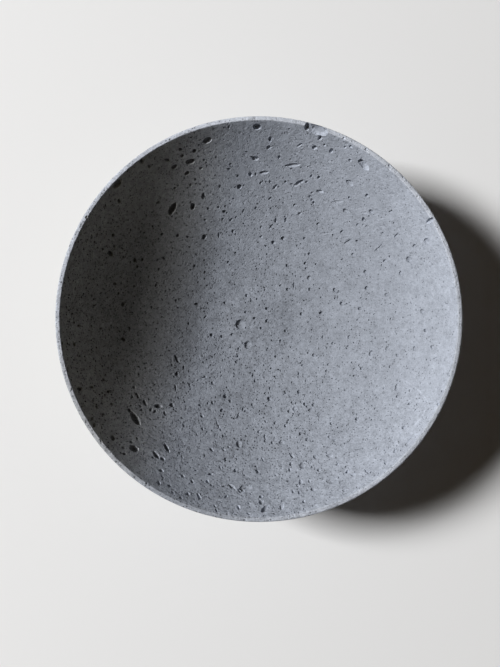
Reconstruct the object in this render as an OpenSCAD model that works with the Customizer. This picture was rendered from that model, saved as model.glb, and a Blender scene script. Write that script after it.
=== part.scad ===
// Concrete planter bowl: one round casting that stands on four self-adhesive felt floor pads.
// Everything is in millimetres, +Z is up the bowl's axis, and z = 0 is the floor under the pads.

/* [Bowl] */
// Diameter of the bowl across the outside of its rim
rim_d = 300; // [280:1:360]
// Height of the top of the rim above the floor
overall_h = 100; // [90:1:110]
// Width of the lip on top of the rim, from the mouth to the outside
lip_w = 3.2; // [3:0.1:8]
// Radius that softens the outer edge of the lip
lip_outer_round = 1.2; // [0.6:0.1:1.4]
// Radius that softens the inner edge of the lip
lip_inner_round = 0.6; // [0.4:0.1:1]
// Thickness of the wall half way up the inside
wall_t = 9; // [7:0.5:11]
// Thickness of the concrete in the middle of the bottom
bottom_t = 12; // [9:0.5:18]
// Diameter at which the level floor inside the bowl would meet the inside of the wall
floor_d = 64; // [50:1:80]
// Radius that rounds that floor into the inside of the wall
floor_round = 35; // [15:5:60]
// Diameter at which the flat base would meet the outside of the wall
base_d = 110; // [104:1:130]
// Radius that rounds the base into the outside of the wall
base_round = 6; // [3:0.5:10]

/* [Floor pads] */
// Diameter of a felt floor pad
pad_d = 22; // [16:1:26]
// Thickness of the felt of a floor pad
pad_felt_t = 2.8; // [2:0.1:5]
// Thickness of the adhesive film on top of a floor pad
pad_film_t = 0.2; // [0.1:0.1:0.5]
// Width of the bare rim of felt round the adhesive film
pad_film_inset = 0.5; // [0:0.1:2]
// Radius that softens the lower edge of the felt
pad_round = 0.6; // [0.2:0.1:1]
// Distance between the edge of a floor pad and the edge of the flat base
pad_margin = 4; // [2:0.5:8]
// Bearing of the first floor pad, in degrees from +X
pad_bearing = 45; // [0:5:90]

/* [Air voids] */
// Share of a void's width that lies below the surface of the concrete
void_sink = 0.5; // [0.4:0.05:0.7]
// Share of a dimple's width that lies below the surface
dimple_sink = 0.2; // [0.15:0.05:0.35]
// Share of the wall's thickness that a void may reach into at most
void_bite = 0.6; // [0.4:0.05:0.75]
// Concrete left between a void and the rounding of the lip
void_lip_gap = 1; // [0.5:0.1:3]

/* [Hidden] */

// A void is drawn round unless it is longer than it is wide by this factor
least_slimness = 1.15;

// Steps that a void's length and width are rounded to
void_length_step = 0.5;
void_width_step = 0.2;

// Segments that a large round shape and a void are drawn with
$fn = 200;
void_fn = 32;

// Number of floor pads, spread evenly round the base, one node for each
pad_count = 4;

// Colours of the concrete, the felt and the adhesive film
concrete_colour = [0.60, 0.62, 0.66];
felt_colour = [0.22, 0.22, 0.23];
film_colour = [0.82, 0.80, 0.72];

// The casting stands on the pads, and has its own height above its flat base
pad_t = pad_felt_t + pad_film_t;
casting_h = overall_h - pad_t;
rim_r = rim_d / 2;
base_r = base_d / 2;
mouth_r = rim_r - lip_w;

// The inside of the wall is a sphere about the axis, through the mouth and the edge of the floor
floor_r = floor_d / 2;
inside_depth = casting_h - bottom_t;
inside_rise = (mouth_r * mouth_r - floor_r * floor_r + inside_depth * inside_depth) / (2 * inside_depth);
inside_r = norm([floor_r, inside_rise]);
inside_z = bottom_t + inside_rise;

// The rounding between the floor and the wall starts where the floor is still level, and ends where it
// touches the wall
floor_round_reach = inside_rise - floor_round;
floor_round_c = [sqrt(pow(inside_r - floor_round, 2) - pow(floor_round_reach, 2)), bottom_t + floor_round];
level_r = floor_round_c[0];
touch_r = level_r * inside_r / (inside_r - floor_round);

// Half way up, the inside leans away from the axis by this angle
half_way_z = (bottom_t + casting_h) / 2;
half_way_lean = acos((inside_z - half_way_z) / inside_r);

// The outside is one arc from the base to the rim. Three points that lie one lip rounding inside it
// fix it: the middle of that rounding, a point half way up and a point at the base's edge.
inside_c = [0, inside_z];
base_edge = [base_r, 0];
half_way_reach = inside_r + wall_t - lip_outer_round;
lip_core = [rim_r - lip_outer_round, casting_h - lip_outer_round];
half_way_core = inside_c + half_way_reach * [sin(half_way_lean), -cos(half_way_lean)];
base_core = base_edge + (inside_c - base_edge) * lip_outer_round / norm(inside_c - base_edge);
outside_c = centre_of_circle(base_core, half_way_core, lip_core);
outside_r = norm(lip_core - outside_c) + lip_outer_round;

// A cutter reaches past the face that it cuts by this much
overcut = 2;

// The pads lie inside the flat that the rounded edge leaves on the base
base_round_c = rounding_centre(outside_c, outside_r - base_round, base_round);
flat_r = base_round_c[0];
pad_ring_r = flat_r - pad_margin - pad_d / 2;

// The larger air voids that the casting left in the inside, read off the photo by eye. A row holds the
// pixels across and down to the void's middle, its length and its width in mm as they look from above,
// and its turn on the photo in degrees, counter-clockwise from the photo's right.
void_readings = [
    [317, 130, 16, 4, -17],
    [364, 165.3, 10, 3.2, -45],
    [135.3, 418.3, 12.5, 3.8, -55],
    [172.5, 209, 11, 4.2, 58],
    [292.3, 165.2, 12, 2.1, 3],
    [298.8, 183, 9, 2.6, 27],
    [117, 184, 9, 2.6, 47],
    [190.5, 161.7, 7.5, 2.8, 18],
    [207, 140.5, 7.5, 3, 25],
    [257, 127, 5, 4.5, -30],
    [255, 158.5, 5.6, 2.8, -15],
    [264, 172.5, 7.6, 2.2, 5],
    [349.8, 183, 6.6, 2.5, -38],
    [346.4, 211.3, 6.2, 2.5, -28],
    [192.8, 206.7, 5.4, 3.6, 88],
    [204.2, 237.2, 4.8, 3.2, 75],
    [176.7, 358.8, 8, 2.5, -63],
    [158, 406.2, 6.2, 3, -8],
    [166.7, 447.8, 7.6, 2.6, -60],
    [156.2, 455, 7.4, 2.4, -48],
    [134.2, 448.6, 6.2, 4.2, -10],
    [265, 508.8, 7, 3, 33],
    [411, 440, 11.5, 1.8, 48],
    [396.8, 386.9, 7, 2, 70],
    [426.9, 241.5, 5.6, 2.8, -65],
    [409, 259.8, 4.8, 3.4, -45],
    [203.3, 196, 4.8, 2.8, 90],
    [319.8, 191.5, 5.6, 2.4, -5],
    [231.8, 486.5, 6, 2.2, -30],
    [145, 402.8, 5.8, 2.2, -62],
    [174.5, 167, 5.4, 2.2, 35],
    [187, 173.3, 4.4, 2.4, 40],
    [371.4, 211.8, 4.4, 2.4, -30],
    [329.6, 455.8, 4.6, 2.4, -5],
    [291.8, 455.3, 5, 2.3, -45],
    [199.1, 496.7, 4, 2.3, -60],
    [275, 187, 5.2, 2.2, 45],
    [335, 290, 4.6, 2.2, -50],
    [175.6, 387.2, 5.5, 1.7, -80],
    [347.8, 241.7, 6.2, 1.8, 27],
    [271.4, 226.4, 4.8, 1.8, 45],
    [218.9, 235, 4.8, 1.8, 85],
    [293.6, 285, 5.4, 1.6, 90],
    [430, 220.6, 4.6, 3, 30],
    [261.3, 502.2, 3.9, 2.6, -10],
    [110.5, 253.6, 3.8, 3.2, 60],
    [239.2, 186.8, 4, 3.2, 10],
    [370.8, 353.2, 4.6, 2.5, 65],
    [314.5, 147.7, 3.6, 2.8, -35],
    [225.3, 396.3, 3.9, 3, -25],
    [171.8, 405, 4, 2.7, -60],
    [422.3, 311.5, 3.6, 2.4, 80],
    [273.4, 242.6, 4, 2.8, -20],
    [269.3, 398.5, 3.6, 3, 0],
    [250.3, 174.6, 3.2, 2.8, 20],
    [366.6, 288, 3.4, 2.8, 0],
    [283, 238.4, 3.6, 2.8, -10],
    [341.6, 303.5, 3.4, 2.6, 0]
];

// Dimples, which are much shallower than they are wide, in rows of the same kind
dimple_readings = [
    [240.5, 324.3, 8.6, 7.4, 0],
    [247.9, 344.8, 6, 5.6, 0],
    [309.4, 278.3, 4.2, 3.6, -10],
    [295.2, 409, 4, 3.6, 0],
    [319.2, 414.4, 3.8, 3.4, 0],
    [281.8, 442.3, 4.2, 3.6, 0],
    [239, 444.2, 5, 4.4, 0]
];

// How the photo was taken: the pixel in its middle, the pixel over the middle of the rim, how many pixels
// the rim is wide, the focal length in pixels, and how far the view leans from straight down, in degrees
photo_middle = [250, 333.5];
photo_rim_middle = [258.9, 315.5];
photo_rim_width = 408;
photo_focus = 770;
photo_lean = 3.75;

// Centre of the circle through three points
function centre_of_circle(a, b, c) =
    let (
        twice_area = 2 * (a[0] * (b[1] - c[1]) + b[0] * (c[1] - a[1]) + c[0] * (a[1] - b[1])),
        x = (a * a) * (b[1] - c[1]) + (b * b) * (c[1] - a[1]) + (c * c) * (a[1] - b[1]),
        z = (a * a) * (c[0] - b[0]) + (b * b) * (a[0] - c[0]) + (c * c) * (b[0] - a[0])
    )
    [x, z] / twice_area;

// Centre of a rounding at a height, on the outer side of an arc's axis and at a reach from its centre
function rounding_centre(arc_c, reach, height) =
    [arc_c[0] + sqrt(reach * reach - (height - arc_c[1]) * (height - arc_c[1])), height];

// Point where a rounding touches an arc
function touch_point(arc_c, arc_r, round_c) = arc_c + (round_c - arc_c) * arc_r / norm(round_c - arc_c);

// Height of the inside above the base, and its lean from level, at a distance from the axis
function inside_height(reach) =
    reach < level_r ? bottom_t
    : reach < touch_r ? floor_round_c[1] - sqrt(pow(floor_round, 2) - pow(reach - level_r, 2))
    : inside_z - sqrt(pow(inside_r, 2) - pow(reach, 2));
function inside_lean(reach) =
    reach < level_r ? 0
    : reach < touch_r ? asin((reach - level_r) / floor_round)
    : asin(reach / inside_r);

// A direction in the camera's own frame, turned into the bowl's frame
function leaned(v) = [
    v[0],
    v[1] * cos(photo_lean) - v[2] * sin(photo_lean),
    v[1] * sin(photo_lean) + v[2] * cos(photo_lean)
];

// The ray through a pixel, one unit deep, and where the camera stood
function photo_ray(pixel) =
    leaned([(pixel[0] - photo_middle[0]) / photo_focus, (photo_middle[1] - pixel[1]) / photo_focus, -1]);
camera = [0, 0, casting_h] - photo_ray(photo_rim_middle) * photo_focus * rim_d / photo_rim_width;

// Where a ray from the camera meets the sphere of the inside, or the level floor where that comes first
function on_sphere(ray) =
    let (
        ahead = ([0, 0, inside_z] - camera) * ray / norm(ray),
        off = norm([0, 0, inside_z] - camera)
    )
    camera + ray / norm(ray) * (ahead + sqrt(pow(inside_r, 2) - pow(off, 2) + pow(ahead, 2)));
function on_floor(ray) = camera + ray * (bottom_t - camera[2]) / ray[2];
function met_point(ray) = on_sphere(ray)[2] < bottom_t ? on_floor(ray) : on_sphere(ray);

function stepped(size, step) = step * round(size / step);

// Concrete between the inside and the outside at a distance from the axis
function concrete_under(reach) =
    let (spot = [reach, inside_height(reach)])
    min(outside_r - norm(spot - outside_c), inside_height(reach));

// A reading laid on the inside: its bearing, its distance from the axis, its length and width there, and
// its turn from the line that runs up the wall
function laid_on_inside(reading) =
    let (
        spot = met_point(photo_ray(reading)),
        bearing = atan2(spot[1], spot[0]),
        seen_reach = norm([spot[0], spot[1]]),
        lean = inside_lean(seen_reach),
        up = [cos(lean) * cos(bearing), cos(lean) * sin(bearing), sin(lean)],
        out = [-sin(lean) * cos(bearing), -sin(lean) * sin(bearing), cos(lean)],
        back = leaned([0, 0, 1]),
        seen = leaned([cos(reading[4]), sin(reading[4]), 0]),
        along = seen - back * (seen * out) / (back * out),
        across = cross(out, along) / norm(along),
        narrowing = norm(across - back * (across * back)),
        widest = void_bite * concrete_under(min(seen_reach, mouth_r - void_lip_gap)) / void_sink,
        width = stepped(min(reading[3] / narrowing, widest), void_width_step),
        length = max(stepped(reading[2] * norm(along), void_length_step), width),
        turn = atan2(along * cross(out, up), along * up),
        rise = (width + (length - width) * abs(cos(turn))) / 2 * cos(lean),
        most_reach = mouth_r - lip_inner_round - void_lip_gap - rise
    )
    [bearing, min(seen_reach, most_reach), length, width, turn];

// What a rounding takes off a corner between a level face and an arc
module corner_waste(round_c, round_r, level_point, arc_point, beyond) {
    difference() {
        polygon([round_c, level_point, beyond, arc_point]);
        translate(round_c) circle(round_r);
    }
}

module outer_lip_waste() {
    level_point = [lip_core[0], casting_h];
    arc_point = touch_point(outside_c, outside_r, lip_core);
    beyond = [rim_r + overcut, casting_h + overcut];
    corner_waste(lip_core, lip_outer_round, level_point, arc_point, beyond);
}

module inner_lip_waste() {
    round_c = rounding_centre(inside_c, inside_r + lip_inner_round, casting_h - lip_inner_round);
    level_point = [round_c[0], casting_h];
    arc_point = touch_point(inside_c, inside_r, round_c);
    beyond = [mouth_r - overcut, casting_h + overcut];
    corner_waste(round_c, lip_inner_round, level_point, arc_point, beyond);
}

// The rounding leaves concrete in the corner between the floor and the wall
module floor_corner() {
    level_point = [level_r, bottom_t];
    arc_point = touch_point(inside_c, inside_r, floor_round_c);
    beyond = [floor_r + overcut, bottom_t - overcut];
    corner_waste(floor_round_c, floor_round, level_point, arc_point, beyond);
}

// Half of the section of the hollow, to the right of the axis
module hollow_section() {
    difference() {
        intersection() {
            translate(inside_c) circle(inside_r);
            translate([0, bottom_t]) square([rim_r + overcut, casting_h]);
        }
        floor_corner();
    }
}

module base_waste() {
    level_point = [base_round_c[0], 0];
    arc_point = touch_point(outside_c, outside_r, base_round_c);
    beyond = [base_r + overcut, -overcut];
    corner_waste(base_round_c, base_round, level_point, arc_point, beyond);
}

// Half of the casting's section, to the right of the axis
module wall_section() {
    difference() {
        intersection() {
            translate(outside_c) circle(outside_r);
            square([rim_r + overcut, casting_h]);
        }
        hollow_section();
        outer_lip_waste();
        inner_lip_waste();
        base_waste();
    }
}

// Solid with round ends that stands for the air trapped in one void, lying along X
module trapped_air(length, width) {
    if (length > least_slimness * width) {
        rotate([0, 90, 0]) rotate_extrude($fn = void_fn) intersection() {
            union() {
                translate([0, (length - width) / 2]) circle(d = width, $fn = void_fn);
                translate([0, (width - length) / 2]) circle(d = width, $fn = void_fn);
                translate([-width / 2, (width - length) / 2]) square([width, length - width]);
            }
            translate([0, -length / 2]) square([width, length]);
        }
    } else {
        sphere(d = width, $fn = void_fn);
    }
}

// Places a child on the inside of the casting, with +Z along the way out of the concrete
module on_inside(bearing, reach) {
    spot = [reach, 0, inside_height(reach)];
    rotate([0, 0, bearing]) translate(spot) rotate([0, -inside_lean(reach), 0]) children();
}

// One air void or dimple, with the given share of its width in the concrete
module air_void(reading, sink) {
    laid = laid_on_inside(reading);
    width = laid[3];
    on_inside(laid[0], laid[1]) translate([0, 0, width / 2 - sink * width]) rotate([0, 0, laid[4]])
        trapped_air(laid[2], width);
}

module bowl_casting() {
    color(concrete_colour) translate([0, 0, pad_t]) difference() {
        rotate_extrude() wall_section();
        for (reading = void_readings) air_void(reading, void_sink);
        for (reading = dimple_readings) air_void(reading, dimple_sink);
    }
}

// Places a child at the middle of one of the floor pads
module at_pad(number) {
    rotate([0, 0, pad_bearing + (number - 1) * 360 / pad_count]) translate([pad_ring_r, 0, 0]) children();
}

module felt_pad(number) {
    straight_h = pad_felt_t - pad_round;
    color(felt_colour) at_pad(number) rotate_extrude() {
        translate([0, pad_round]) square([pad_d / 2, straight_h]);
        square([pad_d / 2 - pad_round, pad_felt_t]);
        intersection() {
            translate([pad_d / 2 - pad_round, pad_round]) circle(pad_round);
            square([pad_d, pad_felt_t]);
        }
    }
}

module pad_adhesive(number) {
    color(film_colour) at_pad(number) translate([0, 0, pad_felt_t])
        cylinder(h = pad_film_t, r = pad_d / 2 - pad_film_inset);
}

bowl_casting();
for (number = [1:pad_count]) {
    felt_pad(number);
    pad_adhesive(number);
}
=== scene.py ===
# Concrete planter bowl: the looks of its casting, its felt floor pads and their adhesive film, in a
# plain studio. Lengths are in metres, +Z is up the bowl's axis, and z = 0 is the floor under the pads.

from math import acos, atan2, cos, hypot, pi, radians, sin, sqrt

import bmesh
import bpy
from bpy.props import FloatProperty, FloatVectorProperty, IntProperty, PointerProperty
from bpy.types import Operator, Panel, PropertyGroup
from mathutils import Matrix, Vector


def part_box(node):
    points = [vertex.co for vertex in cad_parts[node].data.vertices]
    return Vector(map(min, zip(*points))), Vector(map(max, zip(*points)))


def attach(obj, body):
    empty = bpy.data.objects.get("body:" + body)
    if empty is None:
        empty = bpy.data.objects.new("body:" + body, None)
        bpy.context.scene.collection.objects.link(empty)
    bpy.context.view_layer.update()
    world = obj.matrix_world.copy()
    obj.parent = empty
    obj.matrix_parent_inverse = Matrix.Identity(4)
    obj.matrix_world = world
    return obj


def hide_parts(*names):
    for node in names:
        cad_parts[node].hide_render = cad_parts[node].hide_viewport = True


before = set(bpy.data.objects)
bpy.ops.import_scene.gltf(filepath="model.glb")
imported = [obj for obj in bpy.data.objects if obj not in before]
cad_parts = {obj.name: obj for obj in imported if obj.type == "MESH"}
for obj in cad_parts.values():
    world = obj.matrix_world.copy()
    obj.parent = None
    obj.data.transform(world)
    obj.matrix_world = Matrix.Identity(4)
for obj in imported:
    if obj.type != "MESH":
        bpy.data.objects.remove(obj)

bl_info = {
    "name": "Concrete Planter Bowl",
    "version": (1, 0, 0),
    "blender": (4, 5, 0),
    "location": "View3D > Sidebar > Planter Bowl",
    "description": "Casts a concrete planter bowl with its air voids and sets it on felt floor pads",
    "category": "Add Mesh",
}

MM = 0.001
BODY = "root"

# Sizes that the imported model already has, to the nearest hundredth of a millimetre
PAD_NUMBERS = (1, 2, 3, 4)
ROUND_TO = 5
CASTING_LOW, CASTING_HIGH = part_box("bowl_casting")
FELT_LOW, FELT_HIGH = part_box("felt_pad_1")
RIM_WIDTH = round(2 * CASTING_HIGH.x, ROUND_TO)
OVERALL_HEIGHT = round(CASTING_HIGH.z, ROUND_TO)
PAD_HEIGHT = round(CASTING_LOW.z, ROUND_TO)
FELT_WIDTH = round(FELT_HIGH.x - FELT_LOW.x, ROUND_TO)
FELT_THICKNESS = round(FELT_HIGH.z, ROUND_TO)

# The photo's frame in pixels, and where the outer edge of the bowl's rim lies in it
PHOTO_WIDTH = 500
PHOTO_HEIGHT = 667
RIM_MIDDLE_PIXEL = (258.9, 315.5)
RIM_RADIUS_PIXELS = 204

# Numbers that tell the skins of a turned piece apart
INSIDE = 1
LIP = 2
OUTSIDE = 3
BASE = 4
FELT_TOP = 5
FELT_SIDE = 6
FELT_BOTTOM = 7

# Steps round the axis and along each stretch of a section, and the distance within which points merge
CASTING_SEGMENTS = 120
PAD_SEGMENTS = 96
STEPS = {
    "floor": 7, "floor round": 4, "inside": 32, "inner edge": 4, "lip": 3, "outer edge": 5, "outside": 22,
    "base round": 6, "base": 8, "felt face": 6, "felt side": 5, "felt round": 4,
}
MERGE = 1e-6

# Steps of the search for the place that a pixel shows, and the height of the camera's sensor in
# millimetres
SEARCH_STEPS = 30
SENSOR_HEIGHT = 36

# How a row of the tables below becomes a bubble: what its length and width are multiplied by, the share
# of its width that it is deep, for each table, and the share of its depth that its middle is sunk
READ_GROWTH = 1.05 * MM
READ_WIDENING = 1.2 * MM
DEEP = 1.2
SHALLOW = 0.6
CHIP = 0.8
BUBBLE_SINK = 0.12

# Neighbours in the tables go to different batches, because bubbles of one batch must not meet
BATCHES = 4

# How far a read bubble is out of true, and the size of the bumps that make it so
READ_ROUGHNESS = 1.6 * MM
READ_BUMPS = 2.4 * MM

# Subdivisions of a bubble, and the painted shade on its wall at its rim and in its depth; a negative value
# at the rim is a painted highlight. After them the length of a read bubble's half axes, taken as one vector,
# from which it is a large one.
PIN_LOOK = (1, 0.25, 0.25)
SMALL_LOOK = (2, -0.25, 0.5)
LARGE_LOOK = (3, -0.3, 0.65)
LARGE_REACH = 2.9 * MM

# Heights in a bubble of radius 1 between which the painted shade on its wall grows
PAINTED_SHADE_HEIGHTS = (-0.15, -0.7)

# Least and largest share of its random radius that a scattered bubble's half axes have, and that it is
# moved out of the surface, and the power of a random share that makes small ones common
SCATTER_LENGTHS = (0.9, 1.5)
SCATTER_WIDTHS = (0.8, 1.05)
PIN_DEPTHS = (1.0, 1.5)
BLOW_DEPTHS = (0.9, 1.4)
SCATTER_MOVES = (-0.5, -0.1)
SCATTER_POWER = 2

# Seeds that are kept for the random draws of one kind of scattered bubble
DRAWS_OF_A_KIND = 10

# Least and largest width, spacing and number on a square metre of the pinholes in the lip
LIP_PINS = (0.5 * MM, 1.3 * MM, 2.0 * MM, 30000)

# Size of the surface's waves, and where they fade: heights below the lip, and a height above the base
WAVE_SIZE = 42 * MM
LIP_STILL = (9 * MM, 1.5 * MM)
BASE_STILL = 6 * MM

# Share of the voids in the middle, how they grow fewer towards the right and the top, and the least share
MIDDLE_SHARE = 0.7
FEWER_RIGHTWARD = 0.7
FEWER_UPWARD = 0.45
FEWEST = 0.1

# Size of the clusters of pinholes, and the share of them that lies between clusters
CLUSTER_SIZE = 13 * MM
BETWEEN_CLUSTERS = 0.45

# A void's wall is marked 1 and the bowl's skin 0, so the edge between them lies between these marks
RIM_MARKS = (0.25, 0.75)

# Loose fibres of the felt: sides, radii of the ends, how far they lean in radians, and the shortest share.
# After them the size of the ragged steps of the cut edge.
FIBRE_SIDES = 3
FIBRE_TIP = 0.01 * MM
FIBRE_ROOT = 0.03 * MM
FIBRE_LEAN = (-1.35, 1.35)
FIBRE_SHORTEST = 0.4
RAGGED_STEP = 1.6 * MM

# Values of noise between which most of it lies, and its mean
NOISE_MIDDLE = (0.3, 0.7)
NOISE_MEAN = 0.5

# Grains of the concrete's tone, from large clouds to single grains: the size of their features and their
# strength
GRAINS = {
    "clouds": (70 * MM, 0.2),
    "patches": (18 * MM, 0.3),
    "blotches": (5 * MM, 0.55),
    "mottle": (2.6 * MM, 0.45),
    "grain": (1.1 * MM, 0.8),
}
GRAIN_DETAIL = 3.0
GRAIN_ROUGHNESS = 0.6

# How the texture fades towards the right and a little towards the top, and how far from the middle it
# starts and ends, as a share of the mouth's radius. After them the values where it is strong and where it
# has faded: contrast, share of cells without a pore, and tone of a pore. Where it is strong, the contrast
# and the darker pores are partly real texture and partly painted shade, which pits and relief on the right
# wall, facing the lamp, hardly show.
FADING_RIGHTWARD = 0.7
FADING_UPWARD = 0.28
FADING_SHARE = 0.6
CONTRAST = (1.8, 1.0)
PORE_RARITY = (0.1, 0.62)
PORE_TONES = (0.3, 0.55)

# Tone in the middle of the bowl, and what powers of the share of the way to the mouth add to it
MIDDLE_TONE = 0.82
RISING_TONES = ((2, 0.3), (8, 0.28))

# A patchy band of painted shadow on the shaded wall on the lamp's side: the lamp's bearing in degrees, the
# distances along it between which the band starts and between which it ends, what is left past its end, the
# distances beside it between which it fades, its patches as two values of noise and the shares that they
# become, and its tone
LAMP_SIDE_BEARING = 168
PAINTED_SHADOW_START = (38 * MM, 56 * MM)
PAINTED_SHADOW_END = (85 * MM, 120 * MM)
PAINTED_SHADOW_LEFT = 0.5
PAINTED_SHADOW_SIDES = (35 * MM, 90 * MM)
PAINTED_SHADOW_PATCHES = (0.3, 0.6, 0.6, 1.2)
PAINTED_SHADOW_TONE = 0.74

# Distances along the same bearing between which the shaded wall takes a painted warm tint that stands in for
# warm bounced light, and between which the painted shade in the voids grows
SHADE_TINT_REACH = (35 * MM, 115 * MM)
VOID_SHADE_REACH = (20 * MM, 75 * MM)

# Wiping marks on the right wall: their turn in degrees, how fast they change along, across and upwards,
# the distances to the right between which they start, and two values of noise with the tones that they add
WIPED_TURN = -8
WIPED_CHANGE = (18, 520, 18)
WIPED_START = (40 * MM, 100 * MM)
WIPED_TONES = (0.58, 0.75, 0.0, 0.13)

# Pale scratches: distances beside them between which they fade, share of their half length that is full,
# and two values of noise with the tones that they add
SCRATCH_SIDES = (0.2 * MM, 0.8 * MM)
SCRATCH_FULL = 0.6
SCRATCH_TONES = (0.3, 0.6, 0.08, 0.26)

# Fine pores and soft dents: size of the cells that they lie in, and least and largest width as a share of
# a cell. After them the shares of its width between which a pore fades, the size and the reach of the
# bends in a dent's outline, and the share of cells without a dent.
PORE_CELL = 1.9 * MM
PORE_WIDTHS = (0.15, 0.42)
DENT_CELL = 4 * MM
DENT_WIDTHS = (0.2, 0.45)
PORE_FADE = (0.45, 1.05)
DENT_BEND = 3 * MM
DENT_RARITY = 0.5

# The lip's paler skin: depths below its top between which it starts. Hands have worn it at the front:
# the distances to the back between which it grows whole, what a distance to the right adds to them, and
# what is left of the skin where it is worn.
LIP_SKIN = (0.9 * MM, 0.5 * MM)
SKIN_WHOLE = (-130 * MM, -40 * MM)
WHOLE_RIGHTWARD = 0.25
WORN_SKIN = 0.55

# Depths of the concrete's relief, how strongly it shows, and the finish of each material
GRAIN_RELIEF = 0.5 * MM
MOTTLE_RELIEF = 0.6 * MM
PORE_RELIEF = 0.3 * MM
DENT_RELIEF = 0.4 * MM
CONCRETE_BUMP = 0.8
CONCRETE_ROUGHNESS = (0.78, 0.92)
CONCRETE_FINISH = {"Specular IOR Level": 0.3}
FELT_FINISH = {
    "Roughness": 0.96, "Sheen Weight": 0.35, "Sheen Roughness": 0.5, "Specular IOR Level": 0.15,
}
FILM_FINISH = {"Specular IOR Level": 0.4}
FLOOR_FINISH = {"Roughness": 0.9, "Specular IOR Level": 0.2}

# Felt: size and reach of what bends its strands, size, detail and roughness of the strands, size of the
# flecks and the values of noise between which they show, tones of dark and light strands and of flecks,
# depth of the relief and how strongly it shows
FELT_WARP = 2 * MM
FELT_BEND = 3 * MM
FELT_STRANDS = (0.35 * MM, 4.0, 0.7)
FLECK_SIZE = 0.16 * MM
FLECKS = (0.62, 0.75)
FELT_TONES = (0.55, 1.6, 4.5)
FELT_RELIEF = 0.25 * MM
FELT_BUMP = 0.9

# Film: size of the cells with trapped bubbles, the shares of a cell between which a bubble ends, how much
# it shows, size of the clouds, tones of the clouds and of bubbles, depth of the relief and how strongly
# it shows, and roughness
TRAPPED_CELL = 2.6 * MM
TRAPPED_EDGE = (0.12, 0.3)
TRAPPED_SHARE = 0.5
FILM_CLOUDS = 5 * MM
FILM_TONES = (0.86, 1.08, 1.25)
FILM_RELIEF = 0.05 * MM
FILM_BUMP = 0.6
FILM_ROUGHNESS = (0.42, 0.58)

# The studio's backdrop, the distances between which the floor is seen to fade into it, and how far the
# floor reaches
BACKDROP = (0.82, 0.82, 0.82)
FADE = (0.45, 1.7)
FLOOR_REACH = 15
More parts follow.
